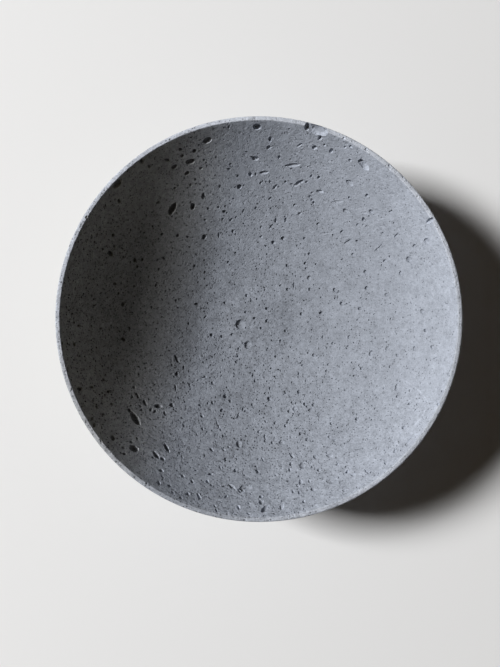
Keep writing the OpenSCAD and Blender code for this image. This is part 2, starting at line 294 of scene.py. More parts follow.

# Air voids read off the photo. Each row gives the pixels across and down to its middle, its
# length and its width in millimetres as they look from above, and its turn on the picture in degrees,
# anticlockwise from the picture's right.
AIR_VOIDS = (
    # Beside the rim, at the top of the photo
    (307.5, 126.5, 4.5, 4, 80), (317, 130, 16, 4, -17), (257, 127, 5, 4.5, -30), (229, 127, 2.2, 2, 0),
    (320, 138, 3.2, 2.4, -20), (207, 140.5, 7.5, 3, 25), (270, 139, 2.8, 2.4, 0),
    (268.5, 147.5, 3.2, 2.4, -15), (300, 145, 4.8, 1.6, 28), (314.5, 147.7, 3.6, 2.8, -35),
    (324.5, 145, 2, 1.8, 0), (331, 151, 3.2, 2.4, -25), (350.5, 146.5, 2.2, 1.8, 0),
    (345, 147, 1.8, 1.6, 0), (350, 160.5, 2.2, 2, 0), (180.5, 149.5, 2.6, 2.2, 40),
    (194.5, 151, 3.2, 2.4, 0), (182, 156, 3, 2, 50), (216, 157, 1.8, 1.6, 0), (255, 158.5, 5.6, 2.8, -15),
    (279, 157.3, 2.4, 2.2, 0),
    # Upper left wall
    (190.5, 161.7, 7.5, 2.8, 18), (167, 160.3, 3.2, 2.2, -20), (174.5, 167, 5.4, 2.2, 35),
    (187, 173.3, 4.4, 2.4, 40), (201, 168.3, 2.8, 1.8, 10), (206, 163, 1.8, 1.6, 0),
    (149.3, 166.4, 2.6, 2, 40), (141.5, 161.3, 2.6, 2, 40), (117, 184, 9, 2.6, 47),
    (190.6, 184.8, 3.2, 1.8, 70), (175, 188.3, 2.6, 1.8, 20), (195.3, 179.4, 2.2, 2, 0),
    (220, 186, 2.2, 2, 0), (203.3, 196, 4.8, 2.8, 90), (192.8, 206.7, 5.4, 3.6, 88),
    (172.5, 209, 11, 4.2, 58), (110.5, 253.6, 3.8, 3.2, 60), (177.6, 235.6, 3, 2.4, 60),
    (205, 220, 2.2, 2, 0), (218.3, 207.2, 2.6, 1.8, 10), (227, 213, 1.8, 1.6, 0),
    # Upper wall
    (292.3, 165.2, 12, 2.1, 3), (264, 172.5, 7.6, 2.2, 5), (250.3, 174.6, 3.2, 2.8, 20),
    (255.8, 174.2, 2.2, 2, 0), (237.8, 176, 2.2, 2, 0), (239.2, 186.8, 4, 3.2, 10),
    (275, 187, 5.2, 2.2, 45), (292, 184.7, 4, 1.6, -15), (298.8, 183, 9, 2.6, 27),
    (285.3, 182, 2.2, 2, 0), (260.8, 183, 2.2, 2, 0), (270, 181.7, 2.2, 2, 0), (311, 176.4, 2.4, 1.8, 60),
    (319, 177.2, 2.2, 2, 0), (306.4, 182, 2, 1.8, 0), (319.8, 191.5, 5.6, 2.4, -5),
    (312, 192.8, 2.6, 1.8, 20), (309.8, 196.3, 2.2, 2, 0), (311.7, 200, 2.2, 1.8, 0),
    (313.6, 202.8, 2.2, 2, 0), (270, 198.6, 3, 2, 40), (255.8, 208, 2.2, 2, 0),
    (243.3, 210.6, 3.6, 1.7, 65), (294.5, 205, 2.4, 1.8, 60),
    # Upper right wall
    (364, 165.3, 10, 3.2, -45), (361, 161.5, 4, 3.4, -60), (349.8, 183, 6.6, 2.5, -38),
    (346.4, 211.3, 6.2, 2.5, -28), (371.4, 211.8, 4.4, 2.4, -30), (366.7, 195.6, 2.6, 2.2, 60),
    (349.2, 197.8, 2.2, 2, 0), (390.6, 211.7, 2.4, 1.8, 0), (299.8, 213.6, 2.9, 2, 20),
    (318.2, 224, 2.6, 2, -30), (357.6, 224.8, 2.2, 1.8, 0), (341.7, 231.7, 3.6, 1.8, 45),
    (347.8, 241.7, 6.2, 1.8, 27), (357, 241, 2.4, 2, 0), (396.7, 235.3, 4, 1.8, 50),
    (304.4, 238.6, 2.2, 2, 0), (382.8, 233.3, 1.8, 1.6, 0), (430, 220.6, 4.6, 3, 30),
    (426.9, 241.5, 5.6, 2.8, -65), (414.3, 246, 2.6, 2.2, 40), (409, 259.8, 4.8, 3.4, -45),
    (384.9, 261, 3, 2.2, 0), (378.5, 247.6, 8, 1.3, 42), (309.3, 254, 2.6, 2.4, 0),
    # Middle of the upper half
    (231, 220, 3.6, 2, 40), (236, 217.2, 2, 1.8, 0), (275.6, 220.6, 4.4, 2.1, 90),
    (285.6, 220, 4, 2.1, 90), (271.4, 226.4, 4.8, 1.8, 45), (261, 227.2, 2.6, 1.7, 60),
    (232.8, 231.3, 2.8, 2.4, 90), (235.6, 234, 1.8, 1.6, 0), (218.9, 235, 4.8, 1.8, 85),
    (204.2, 237.2, 4.8, 3.2, 75), (283, 238.4, 3.6, 2.8, -10), (261.2, 236.8, 2.8, 2, 0),
    (273.4, 242.6, 4, 2.8, -20), (222.6, 219, 2.2, 1.8, 40), (305, 263.4, 2.5, 2.3, 0),
    (228, 262, 2.4, 2.2, 0), (194.6, 266, 3, 2.4, 60), (309.5, 289.4, 2.8, 2.6, 0),
    (293.6, 285, 5.4, 1.6, 90), (335, 290, 4.6, 2.2, -50), (365.2, 271.8, 3, 2.6, 0),
    (366.6, 288, 3.4, 2.8, 0), (352.6, 254.2, 2.2, 2, 0), (386.3, 294.9, 2.8, 2.2, 60),
    (400.3, 273.4, 3.2, 2, 70), (246.5, 295.5, 2.6, 2.4, 0),
    # Middle of the bowl and left of it
    (196.8, 304.2, 4.2, 2.2, -10), (176, 300.6, 2.6, 2.2, 0), (205.2, 317.2, 3.4, 1.7, 30),
    (211.5, 335, 3.2, 2.6, 0), (245.6, 312, 2.4, 2.2, 0), (266.6, 320.7, 2.6, 2.4, 0),
    (285.4, 331, 2.6, 2.4, 0), (280.4, 340.8, 2.6, 2.2, 0), (301.4, 314, 2.8, 2.6, 0),
    (341.6, 303.5, 3.4, 2.6, 0), (359.7, 308.8, 3, 2.4, 0), (349, 337, 3.6, 1.8, 70),
    (313.6, 355.2, 3.4, 2.4, -40), (299, 373.8, 2.6, 2.2, 0), (255, 381, 2.6, 2.2, 0),
    (212.6, 383, 3.2, 2.4, 0), (205.2, 377, 2.2, 2, 0), (184, 367.3, 3.2, 1.9, -75),
    (172.2, 365, 2.3, 2, 0), (176.7, 358.8, 8, 2.5, -63), (299, 392, 3.2, 2.6, 0),
    (285.6, 392.2, 2.4, 2.2, 0), (225.3, 396.3, 3.9, 3, -25), (230.2, 401, 2.4, 2.2, 0),
    (269.3, 398.5, 3.6, 3, 0), (243, 408.9, 3.9, 1.7, 70),
    # Right wall
    (370.8, 353.2, 4.6, 2.5, 65), (387, 348.3, 3.9, 1.7, 60), (414.3, 348.3, 3.9, 1.7, 80),
    (397.2, 355.3, 2.3, 2.2, 0), (434.6, 358.8, 3.5, 1.6, 40), (361.7, 368.6, 2.8, 2.2, 0),
    (396.8, 386.9, 7, 2, 70), (422.3, 311.5, 3.6, 2.4, 80), (395, 451, 3, 2, 60),
    (411, 440, 11.5, 1.8, 48),
    # Lower left wall
    (135.3, 418.3, 12.5, 3.8, -55), (129.5, 410.5, 4.5, 1.8, -55), (145, 402.8, 5.8, 2.2, -62),
    (158, 406.2, 6.2, 3, -8), (171.8, 405, 4, 2.7, -60), (212.3, 402.6, 3.2, 2.3, -75),
    (165, 413.4, 4.3, 1.9, -65), (150.6, 409.8, 2.7, 2.2, -50), (141.7, 410, 2.3, 2, 0),
    (140.6, 406.4, 2.3, 2, 0), (175.6, 387.2, 5.5, 1.7, -80), (189.2, 384.4, 2.3, 2.2, 0),
    (79.7, 388.9, 3, 2.8, 0), (91.4, 387.2, 2.3, 2, 0), (133.9, 387, 2.3, 2.1, 0),
    (136.7, 394, 2.3, 2.1, 0), (131.9, 397.2, 2.4, 1.6, 30), (111.7, 404, 2.4, 1.8, -70),
    (202, 416.2, 3, 2.2, 0), (183.9, 425.6, 2.3, 2.2, 0), (202.8, 429, 2.4, 1.9, -80),
    (113, 437.8, 4.3, 2.2, -43), (137.2, 438.9, 2.4, 1.8, -80), (131.2, 441.8, 2.6, 1.8, -45),
    (134.2, 448.6, 6.2, 4.2, -10), (124.4, 453.6, 2.4, 2.2, 0), (123, 447.8, 2.1, 1.9, 0),
    (166.7, 447.8, 7.6, 2.6, -60), (156.2, 455, 7.4, 2.4, -48), (162.6, 459, 3.6, 2.4, 0),
    (179.4, 452.8, 2.4, 1.6, -60), (182.2, 456.7, 2.8, 1.4, -75), (211.7, 449.8, 3.6, 2.3, -50),
    (182.8, 476, 3.6, 1.6, -35), (158.9, 483, 2.8, 2.2, -20), (192, 481.4, 2.3, 2.1, 0),
    (207.8, 481.7, 2.7, 2.3, 0), (188, 494, 2.8, 1.9, -35), (199.1, 496.7, 4, 2.3, -60),
    (180.8, 497.8, 2.3, 2.1, 0), (168.9, 485.6, 2, 1.8, 0), (172.8, 492.4, 1.9, 1.7, 0),
    # Lower wall
    (252.2, 404.8, 2.8, 1.9, -20), (238, 416, 4.8, 1.3, 68), (291.7, 402.4, 2, 1.8, 0),
    (305, 404, 3.2, 2.4, 0), (313.3, 404.8, 2.8, 2.3, 0), (218.4, 425.4, 8, 1.3, -65),
    (221, 429.6, 2, 1.8, 0), (265.6, 421.4, 2.1, 1.9, 0), (275, 422.8, 2.8, 1.8, 70),
    (285.3, 425.8, 2.4, 2.1, 0), (258.9, 431.7, 2.1, 1.9, 0), (300.6, 433.6, 3, 2.3, 0),
    (265, 436.8, 4, 1.9, -85), (307.3, 439.3, 3, 2.3, 0), (329.4, 436.7, 2.6, 2, 0),
    (272.4, 442.4, 2.1, 1.9, 0), (223.8, 449.8, 2.8, 2.1, 0), (228.7, 446.9, 2.4, 1.6, 0),
    (291.8, 455.3, 5, 2.3, -45), (315.2, 456.6, 3.2, 2.4, 0), (329.6, 455.8, 4.6, 2.4, -5),
    (306.9, 460.8, 2, 1.8, 0), (262.8, 459.4, 3.5, 1.6, -60), (291, 463.9, 2.9, 2.2, 0),
    (220.3, 467.8, 4.8, 1.4, -60), (289.8, 469.7, 2.4, 2.2, 0), (353, 474.6, 3, 2.2, 0),
    (337.8, 464.2, 2.4, 2, 0), (231.8, 486.5, 6, 2.2, -30), (239.5, 490.5, 3, 2, -45),
    (300.8, 482, 2.8, 2.2, 0), (309.4, 481, 2, 1.8, 0), (261.3, 502.2, 3.9, 2.6, -10),
    (265, 508.8, 7, 3, 33), (303.6, 501.6, 2.1, 1.9, 0), (313.9, 489.7, 2.4, 1.7, 0),
    (299.4, 492.2, 2, 1.8, 0), (293, 491, 2, 1.8, 0), (238.3, 507.2, 2.5, 2, 0),
    (226, 496.6, 2.9, 1.7, 30), (344.8, 490.2, 3, 2.2, 0), (367, 471.4, 3.4, 1.8, -40),
    (216.4, 510.3, 2.3, 1.7, -60), (214.8, 506, 2, 1.8, 0),
)

# Dimples and scoops that are much shallower than they are wide, in rows of the same kind
SHALLOW_VOIDS = (
    (240.5, 324.3, 8.6, 7.4, 0), (245.5, 488, 9.5, 3.6, 5), (332, 480.6, 8.6, 3.2, 8),
    (302.8, 465.2, 5, 4.2, 0), (337.5, 201.7, 8.8, 1.8, 0), (326.3, 233.3, 10.5, 1.5, 0),
    (367.2, 226.4, 2.8, 2.2, 0), (281.7, 506.7, 3.4, 2.8, 0), (319, 131, 14, 3.6, -17),
    (363.3, 225, 2.2, 1.8, 0), (247.9, 344.8, 6, 5.6, 0), (309.4, 278.3, 4.2, 3.6, -10),
    (295.2, 409, 4, 3.6, 0), (319.2, 414.4, 3.8, 3.4, 0), (281.8, 442.3, 4.2, 3.6, 0),
    (239, 444.2, 5, 4.4, 0),
)

# Chips in the lip, in rows of the same kind
LIP_CHIPS = (
    (86.3, 217.2, 2.4, 1.8, 60), (169.7, 139.6, 1.8, 1.4, 30), (343.8, 138.2, 2, 1.8, 0),
    (361, 143.2, 1.6, 1.4, 0), (366, 149.4, 2.2, 2, 0), (389.4, 165.7, 2, 1.8, 0),
    (403, 177, 2.2, 1.6, -45), (445.9, 258.7, 1.8, 1.4, 80), (146.8, 483.2, 2.4, 2, -40),
    (159.4, 490, 1.8, 1.4, 0), (116, 461.8, 1.6, 1.4, 0), (85.8, 422.4, 1.8, 1.4, 0),
    (71.6, 389.2, 1.8, 1.4, -60), (101.1, 441, 2, 1.6, -50), (455, 352, 1.4, 1.2, 0),
)

# Pale scratches, each through three pixels
SCRATCHES = (
    ((403, 380), (417, 389), (429, 404)), ((427, 406), (421, 418), (412, 428)),
    ((284, 448), (281, 478), (275, 504)),
)

# Stretches of the lip that are darker: the bearing of the middle in degrees, the
# cosines of the angles from it at which they end and are full, and the tone there
DARKER_LIP_STRETCHES = ((232, 0.65, 0.97, 0.65), (-15, 0.75, 0.97, 0.8))


def length_setting(name, description, default):
    """A length that a user can change."""
    return FloatProperty(name=name, description=description, default=default, min=0.0, precision=5,
                         subtype="DISTANCE", unit="LENGTH")


def colour_setting(name, description, default):
    """A colour that a user can change."""
    return FloatVectorProperty(name=name, description=description, default=default, size=3,
                               min=0.0, max=1.0, subtype="COLOR")


def angle_setting(name, description, degrees):
    """An angle that a user can change."""
    return FloatProperty(name=name, description=description, default=radians(degrees),
                         subtype="ANGLE", unit="ROTATION")


def number_setting(name, description, default):
    """A plain number that a user can change."""
    return FloatProperty(name=name, description=description, default=default)


class CastingSizes(PropertyGroup):
    """Sizes of the concrete casting"""

    rim_width: length_setting("Rim width", "Diameter across the outside of the rim", RIM_WIDTH)
    overall_height: length_setting("Height", "Height of the lip above the floor", OVERALL_HEIGHT)
    pad_height: length_setting("Pad height", "Height of the casting's base above the floor", PAD_HEIGHT)
    lip_width: length_setting("Lip width", "Width of the flat lip on the rim", 3.2 * MM)
    lip_outer_round: length_setting("Outer rounding", "Radius on the lip's outer edge", 1.2 * MM)
    lip_inner_round: length_setting("Inner rounding", "Radius on the lip's inner edge", 0.6 * MM)
    wall_thickness: length_setting("Wall", "Thickness of the wall half way up", 9 * MM)
    bottom_thickness: length_setting("Bottom", "Thickness in the middle of the bottom", 12 * MM)
    floor_width: length_setting("Floor width", "Diameter at which the level floor meets the wall", 64 * MM)
    floor_round: length_setting("Floor rounding", "Radius between the floor and the wall", 35 * MM)
    base_width: length_setting("Base width", "Diameter at which the base meets the wall", 110 * MM)
    base_round: length_setting("Base rounding", "Radius between the base and the wall", 6 * MM)
    waviness: length_setting("Waviness", "How far the surface wavers from its true form", 0.25 * MM)


class VoidSizes(PropertyGroup):
    """Sizes and numbers of the small air voids"""

    pin_least: length_setting("Least pinhole", "Width of the smallest pinholes", 1.0 * MM)
    pin_most: length_setting("Largest pinhole", "Width of the largest pinholes", 1.95 * MM)
    pin_spacing: length_setting("Pinhole spacing", "Least distance between two pinholes", 1.3 * MM)
    pins_inside: number_setting("Pinholes inside",
                                "Pinholes on a square metre of the inside, where thickest", 60000)
    pins_outside: number_setting("Pinholes outside", "Pinholes on a square metre of the outside", 5200)
    blow_least: length_setting("Least blowhole", "Width of the smallest blowholes", 1.8 * MM)
    blow_most: length_setting("Largest blowhole", "Width of the largest blowholes", 3.4 * MM)
    blow_spacing: length_setting("Blowhole spacing", "Least distance between two blowholes", 4 * MM)
    blows_inside: number_setting("Blowholes inside", "Blowholes on a square metre of the inside", 3600)
    blows_outside: number_setting("Blowholes outside", "Blowholes on a square metre of the outside", 500)
    seed: IntProperty(name="Seed", description="Another number gives other random places", default=7)


# Those that the tree of the air voids takes as they are
SCATTER_SETTINGS = (
    "pin_least", "pin_most", "pin_spacing", "pins_inside", "pins_outside",
    "blow_least", "blow_most", "blow_spacing", "blows_inside", "blows_outside",
)


class PadSizes(PropertyGroup):
    """Sizes of the felt floor pads"""

    width: length_setting("Pad width", "Diameter of a felt pad", FELT_WIDTH)
    thickness: length_setting("Felt thickness", "Thickness of the felt", FELT_THICKNESS)
    edge_round: length_setting("Edge rounding", "Radius on the felt's lower edge", 0.6 * MM)
    raggedness: length_setting("Raggedness", "How far the cut edge wavers", 0.25 * MM)
    fibre_length: length_setting("Fibre length", "Length of a loose fibre", 1.1 * MM)
    fibres: number_setting("Fibres", "Loose fibres on a square metre of the cut edge", 3.2e6)


class Finishes(PropertyGroup):
    """Colours of the materials"""

    concrete: colour_setting("Concrete", "Colour of the cast concrete", (0.25, 0.27, 0.31))
    shade_tinted_concrete: colour_setting("Shade tinted concrete", "Warm colour painted on the shaded concrete on the lamp's side, for warm bounced light",
                                  (0.274, 0.267, 0.243))
    lip: colour_setting("Lip", "Colour of the rubbed concrete on the lip", (0.325, 0.345, 0.385))
    felt: colour_setting("Felt", "Colour of the felt", (0.05, 0.05, 0.052))
    film: colour_setting("Film", "Colour of the adhesive film", (0.62, 0.6, 0.5))
    floor: colour_setting("Floor", "Colour of the studio floor", (0.74, 0.74, 0.74))


class StudioSettings(PropertyGroup):
    """The camera, the lamp and the light that fills the shadows"""

    camera_tilt: angle_setting("Camera tilt", "How far the camera leans from straight down", 3.75)
    camera_lens: number_setting("Lens", "Focal length in millimetres", 41.56)
    lamp_bearing: angle_setting("Lamp bearing", "Where the lamp stands, anticlockwise from +X", 168)
    lamp_rise: angle_setting("Lamp rise", "Height of the lamp as an angle from the floor", 43)
    lamp_distance: length_setting("Lamp distance", "Distance of the lamp from the bowl", 6.0)
    lamp_width: length_setting("Lamp width", "Side of the lamp's square face", 1.3)
    lamp_power: number_setting("Lamp power", "Power of the lamp in watts", 530)
    fill: number_setting("Fill", "Strength of the light from all round", 0.02)
    fill_colour: colour_setting("Fill colour", "Colour of the light from all round", (1.0, 0.7, 0.35))


class PlanterBowl(PropertyGroup):
    """Everything about the bowl that a user can set"""

    casting: PointerProperty(type=CastingSizes)
    voids: PointerProperty(type=VoidSizes)
    pads: PointerProperty(type=PadSizes)
    finishes: PointerProperty(type=Finishes)
    studio: PointerProperty(type=StudioSettings)


class Nodes:
    """Short ways to add nodes to a tree. A socket is given a value, or an output to link it to."""

    def __init__(self, tree):
        self.tree = tree

    def add(self, kind, sockets=None, **settings):
        """Adds a node, makes its settings, and fills its sockets by name or number."""
        made = self.tree.nodes.new(kind)
        for name, value in settings.items():
            setattr(made, name, value)
        self.fill(made, sockets or {})
        return made

    def fill(self, node, sockets):
        """Gives a node's sockets their values, or the outputs that they are linked to."""
        for name, value in sockets.items():
            self.fill_socket(node.inputs[name], value)

    def fill_socket(self, socket, value):
        """Gives one socket its value or its link."""
        if isinstance(value, bpy.types.NodeSocket):
            self.tree.links.new(value, socket)
        else:
            socket.default_value = value

    def math(self, operation, first, second=0.0):
        """One sum with two numbers."""
        return self.add("ShaderNodeMath", {0: first, 1: second}, operation=operation).outputs[0]

    def plus(self, first, *others):
        """A number with others added to it."""
        for other in others:
            first = self.math("ADD", first, other)
        return first

    def minus(self, first, second):
        """A number less another."""
        return self.math("SUBTRACT", first, second)

    def times(self, first, *others):
        """A number multiplied by others."""
        for other in others:
            first = self.math("MULTIPLY", first, other)
        return first

    def vector(self, operation, first, second):
        """One sum with two vectors."""
        made = self.add("ShaderNodeVectorMath", {0: first, 1: second}, operation=operation)
        return made.outputs["Vector"]

    def vector_length(self, vector):
        """The length of a vector."""
        return self.add("ShaderNodeVectorMath", {0: vector}, operation="LENGTH").outputs["Value"]

    def scaled(self, vector, factor):
        """A vector times a number."""
        made = self.add("ShaderNodeVectorMath", {0: vector, "Scale": factor}, operation="SCALE")
        return made.outputs["Vector"]

    def point(self, x, y, z):
        """A vector from its three numbers."""
        return self.add("ShaderNodeCombineXYZ", {"X": x, "Y": y, "Z": z}).outputs["Vector"]

    def parts(self, vector):
        """The three numbers of a vector."""
        return self.add("ShaderNodeSeparateXYZ", {"Vector": vector}).outputs

    def noise(self, place, size, detail=2.0, roughness=0.5):
        """Smooth noise from 0 to 1, with features of a size in metres."""
        sockets = {"Vector": place, "Scale": 1 / size, "Detail": detail, "Roughness": roughness}
        return self.add("ShaderNodeTexNoise", sockets).outputs["Fac"]

    def remap(self, value, low, high, new_low=0.0, new_high=1.0, smooth=False):
        """A number moved from one range to another, and kept inside it."""
        sockets = {"Value": value, "From Min": low, "From Max": high, "To Min": new_low, "To Max": new_high}
        kind = "SMOOTHSTEP" if smooth else "LINEAR"
        return self.add("ShaderNodeMapRange", sockets, interpolation_type=kind).outputs["Result"]

    def fade(self, value, low, high):
        """1 for a number that is low, falling smoothly to 0 where it is high."""
        return self.remap(value, low, high, 1.0, 0.0, smooth=True)

    def stretched(self, noise, low=0.0, high=1.0):
        """Noise stretched so that most of it reaches from one number to another."""
        return self.remap(noise, *NOISE_MIDDLE, low, high)

    def mix(self, share, first, second):
        """A colour between two others."""
        sockets = {"Factor": share, "A": first, "B": second}
        made = self.add("ShaderNodeMix", data_type="RGBA")
        for socket in made.inputs:
            if socket.enabled and socket.name in sockets:
                self.fill_socket(socket, sockets[socket.name])
        return next(socket for socket in made.outputs if socket.enabled)

    def swirl(self, place, size, detail=2.0):
        """Noise as a vector, with features of a size in metres."""
        sockets = {"Vector": place, "Scale": 1 / size, "Detail": detail}
        return self.add("ShaderNodeTexNoise", sockets).outputs["Color"]

    def cells(self, place, size):
        """Distance from the middle of a random cell, and two random numbers for each cell."""
        made = self.add("ShaderNodeTexVoronoi", {"Vector": place, "Scale": 1 / size}).outputs
        return made["Distance"], self.parts(made["Color"])

    def bump(self, strength, height):
        """The way out of a surface with a relief in metres."""
        sockets = {"Strength": strength, "Distance": 1.0, "Height": height}
        return self.add("ShaderNodeBump", sockets).outputs["Normal"]

    def position(self):
        """The place of each point of a mesh."""
        return self.add("GeometryNodeInputPosition").outputs[0]

    def normal(self):
        """The way out of a mesh at each point."""
        return self.add("GeometryNodeInputNormal").outputs[0]

    def attribute(self, name, kind="FLOAT"):
        """An attribute that a mesh carries."""
        return self.add("GeometryNodeInputNamedAttribute", {"Name": name}, data_type=kind).outputs[0]

    def stored(self, mesh, name, value):
        """A mesh with a number kept on each face."""
        sockets = {"Geometry": mesh, "Name": name, "Value": value}
        kept = self.add("GeometryNodeStoreNamedAttribute", sockets, data_type="FLOAT", domain="FACE")
        return kept.outputs[0]

    def turned(self, rotation, extra):
        """A rotation with another one made before it."""
        sockets = {"Rotation": rotation, "Rotate By": extra}
        return self.add("FunctionNodeRotateRotation", sockets, rotation_space="LOCAL").outputs[0]

    def copies(self, points, mesh, rotation, scale, chosen=True):
        """Instances of a mesh on the chosen points."""
        sockets = {
            "Points": points, "Instance": mesh, "Rotation": rotation, "Scale": scale, "Selection": chosen,
        }
        return self.add("GeometryNodeInstanceOnPoints", sockets).outputs[0]

    def realised(self, geometry):
        """Instances as plain mesh."""
        return self.add("GeometryNodeRealizeInstances", {"Geometry": geometry}).outputs[0]

    def moved(self, geometry, **sockets):
        """A mesh whose points are moved by Offset or to Position."""
        return self.add("GeometryNodeSetPosition", {"Geometry": geometry, **sockets}).outputs[0]

    def joined(self, *parts):
        """Several meshes as one."""
        made = self.add("GeometryNodeJoinGeometry")
        for part in parts:
            self.tree.links.new(part, made.inputs[0])
        return made.outputs[0]


# The section of the casting

class BowlShape:
    """The circles that the casting's section is made of. A centre is a radius and a height."""

    def __init__(self, sizes):
        self.top = sizes.overall_height
        self.base = sizes.pad_height
        self.bottom = self.base + sizes.bottom_thickness
        rim = sizes.rim_width / 2
        mouth = rim - sizes.lip_width
        self.mouth = mouth
        depth = self.top - self.bottom
        floor = sizes.floor_width / 2
        inside_rise = (mouth ** 2 - floor ** 2 + depth ** 2) / (2 * depth)
        self.inside_radius = sqrt(floor ** 2 + inside_rise ** 2)
        self.inside_centre = Vector((0, self.bottom + inside_rise))
        self.floor_round = sizes.floor_round
        self.floor_core = rounding_centre(
            self.inside_centre, self.inside_radius - self.floor_round, self.bottom + self.floor_round)
        self.level_reach = self.floor_core.x
        self.wall_reach = self.level_reach * self.inside_radius / (self.inside_radius - self.floor_round)

        self.outer_round = sizes.lip_outer_round
        self.inner_round = sizes.lip_inner_round
        self.base_round = sizes.base_round
        self.lip_core = Vector((rim - self.outer_round, self.top - self.outer_round))
        half_way = (self.bottom + self.top) / 2
        lean = acos((self.inside_centre.y - half_way) / self.inside_radius)
        reach = self.inside_radius + sizes.wall_thickness - self.outer_round
        half_way_core = self.inside_centre + reach * Vector((sin(lean), -cos(lean)))
        base_edge = Vector((sizes.base_width / 2, self.base))
        base_core = base_edge + (self.inside_centre - base_edge).normalized() * self.outer_round
        self.outside_centre = centre_of_circle(base_core, half_way_core, self.lip_core)
        self.outside_radius = (self.lip_core - self.outside_centre).length + self.outer_round
        self.base_core = rounding_centre(
            self.outside_centre, self.outside_radius - self.base_round, self.base + self.base_round)
        self.inner_core = rounding_centre(
            self.inside_centre, self.inside_radius + self.inner_round, self.top - self.inner_round)

    def section(self):
        """The outline from the middle of the inside, over the lip, to the middle of the base, as points
        and the skin that starts at each."""
        floor_end = bearing(self.floor_core - self.inside_centre)
        inside_end = bearing(self.inner_core - self.inside_centre)
        outside_start = bearing(self.lip_core - self.outside_centre)
        outside_end = bearing(self.base_core - self.outside_centre)
        flat_end = Vector((self.lip_core.x, self.top))
        outline = Outline(Vector((0, self.bottom)))
        outline.line(INSIDE, Vector((self.level_reach, self.bottom)), "floor")
        outline.arc(INSIDE, self.floor_core, self.floor_round, -pi / 2, floor_end, "floor round")
        outline.arc(INSIDE, self.inside_centre, self.inside_radius, floor_end, inside_end, "inside")
        outline.arc(LIP, self.inner_core, self.inner_round, inside_end + pi, pi / 2, "inner edge")
        outline.line(LIP, flat_end, "lip")
        outline.arc(LIP, self.lip_core, self.outer_round, pi / 2, outside_start, "outer edge")
        outline.arc(OUTSIDE, self.outside_centre, self.outside_radius, outside_start, outside_end, "outside")
        outline.arc(OUTSIDE, self.base_core, self.base_round, outside_end, -pi / 2, "base round")
        outline.line(BASE, Vector((0, self.base)), "base")
        return outline

    def inside_at(self, reach):
        """Height of the inside at a distance from the axis, and the way out of the concrete there."""
        if reach < self.level_reach:
            return self.bottom, Vector((0, 1))
        if reach < self.wall_reach:
            centre, radius = self.floor_core, self.floor_round
        else:
            centre, radius = self.inside_centre, self.inside_radius
        height = centre.y - sqrt(max(radius ** 2 - (reach - centre.x) ** 2, 0))
        return height, (centre - Vector((reach, height))).normalized()


class Outline:
    """Points of a half section, from axis to axis, and the skin that starts at each point."""

    def __init__(self, start):
        self.points = [start]
        self.skins = []

    def line(self, skin, end, stretch):
        """Adds a straight stretch."""
        start = self.points[-1]
        steps = STEPS[stretch]
        for step in range(1, steps + 1):
            self.points.append(start.lerp(end, step / steps))
            self.skins.append(skin)

    def arc(self, skin, centre, radius, start, end, stretch):
        """Adds a round stretch between two angles."""
        steps = STEPS[stretch]
        for step in range(1, steps + 1):
            turn = start + (end - start) * step / steps
            self.points.append(centre + radius * Vector((cos(turn), sin(turn))))
            self.skins.append(skin)


def bearing(direction):
    """Angle of a direction in the section's plane."""
    return atan2(direction.y, direction.x)


def centre_of_circle(a, b, c):
    """Centre of the circle through three points."""
    twice_area = 2 * (a.x * (b.y - c.y) + b.x * (c.y - a.y) + c.x * (a.y - b.y))
    x = a.dot(a) * (b.y - c.y) + b.dot(b) * (c.y - a.y) + c.dot(c) * (a.y - b.y)
    y = a.dot(a) * (c.x - b.x) + b.dot(b) * (a.x - c.x) + c.dot(c) * (b.x - a.x)
    return Vector((x, y)) / twice_area


def rounding_centre(arc_centre, reach, height):
    """Centre of a rounding at a height and at a reach from an arc's centre, on its outer side."""
    return Vector((arc_centre.x + sqrt(reach ** 2 - (height - arc_centre.y) ** 2), height))


# The camera's view, and what is placed by it

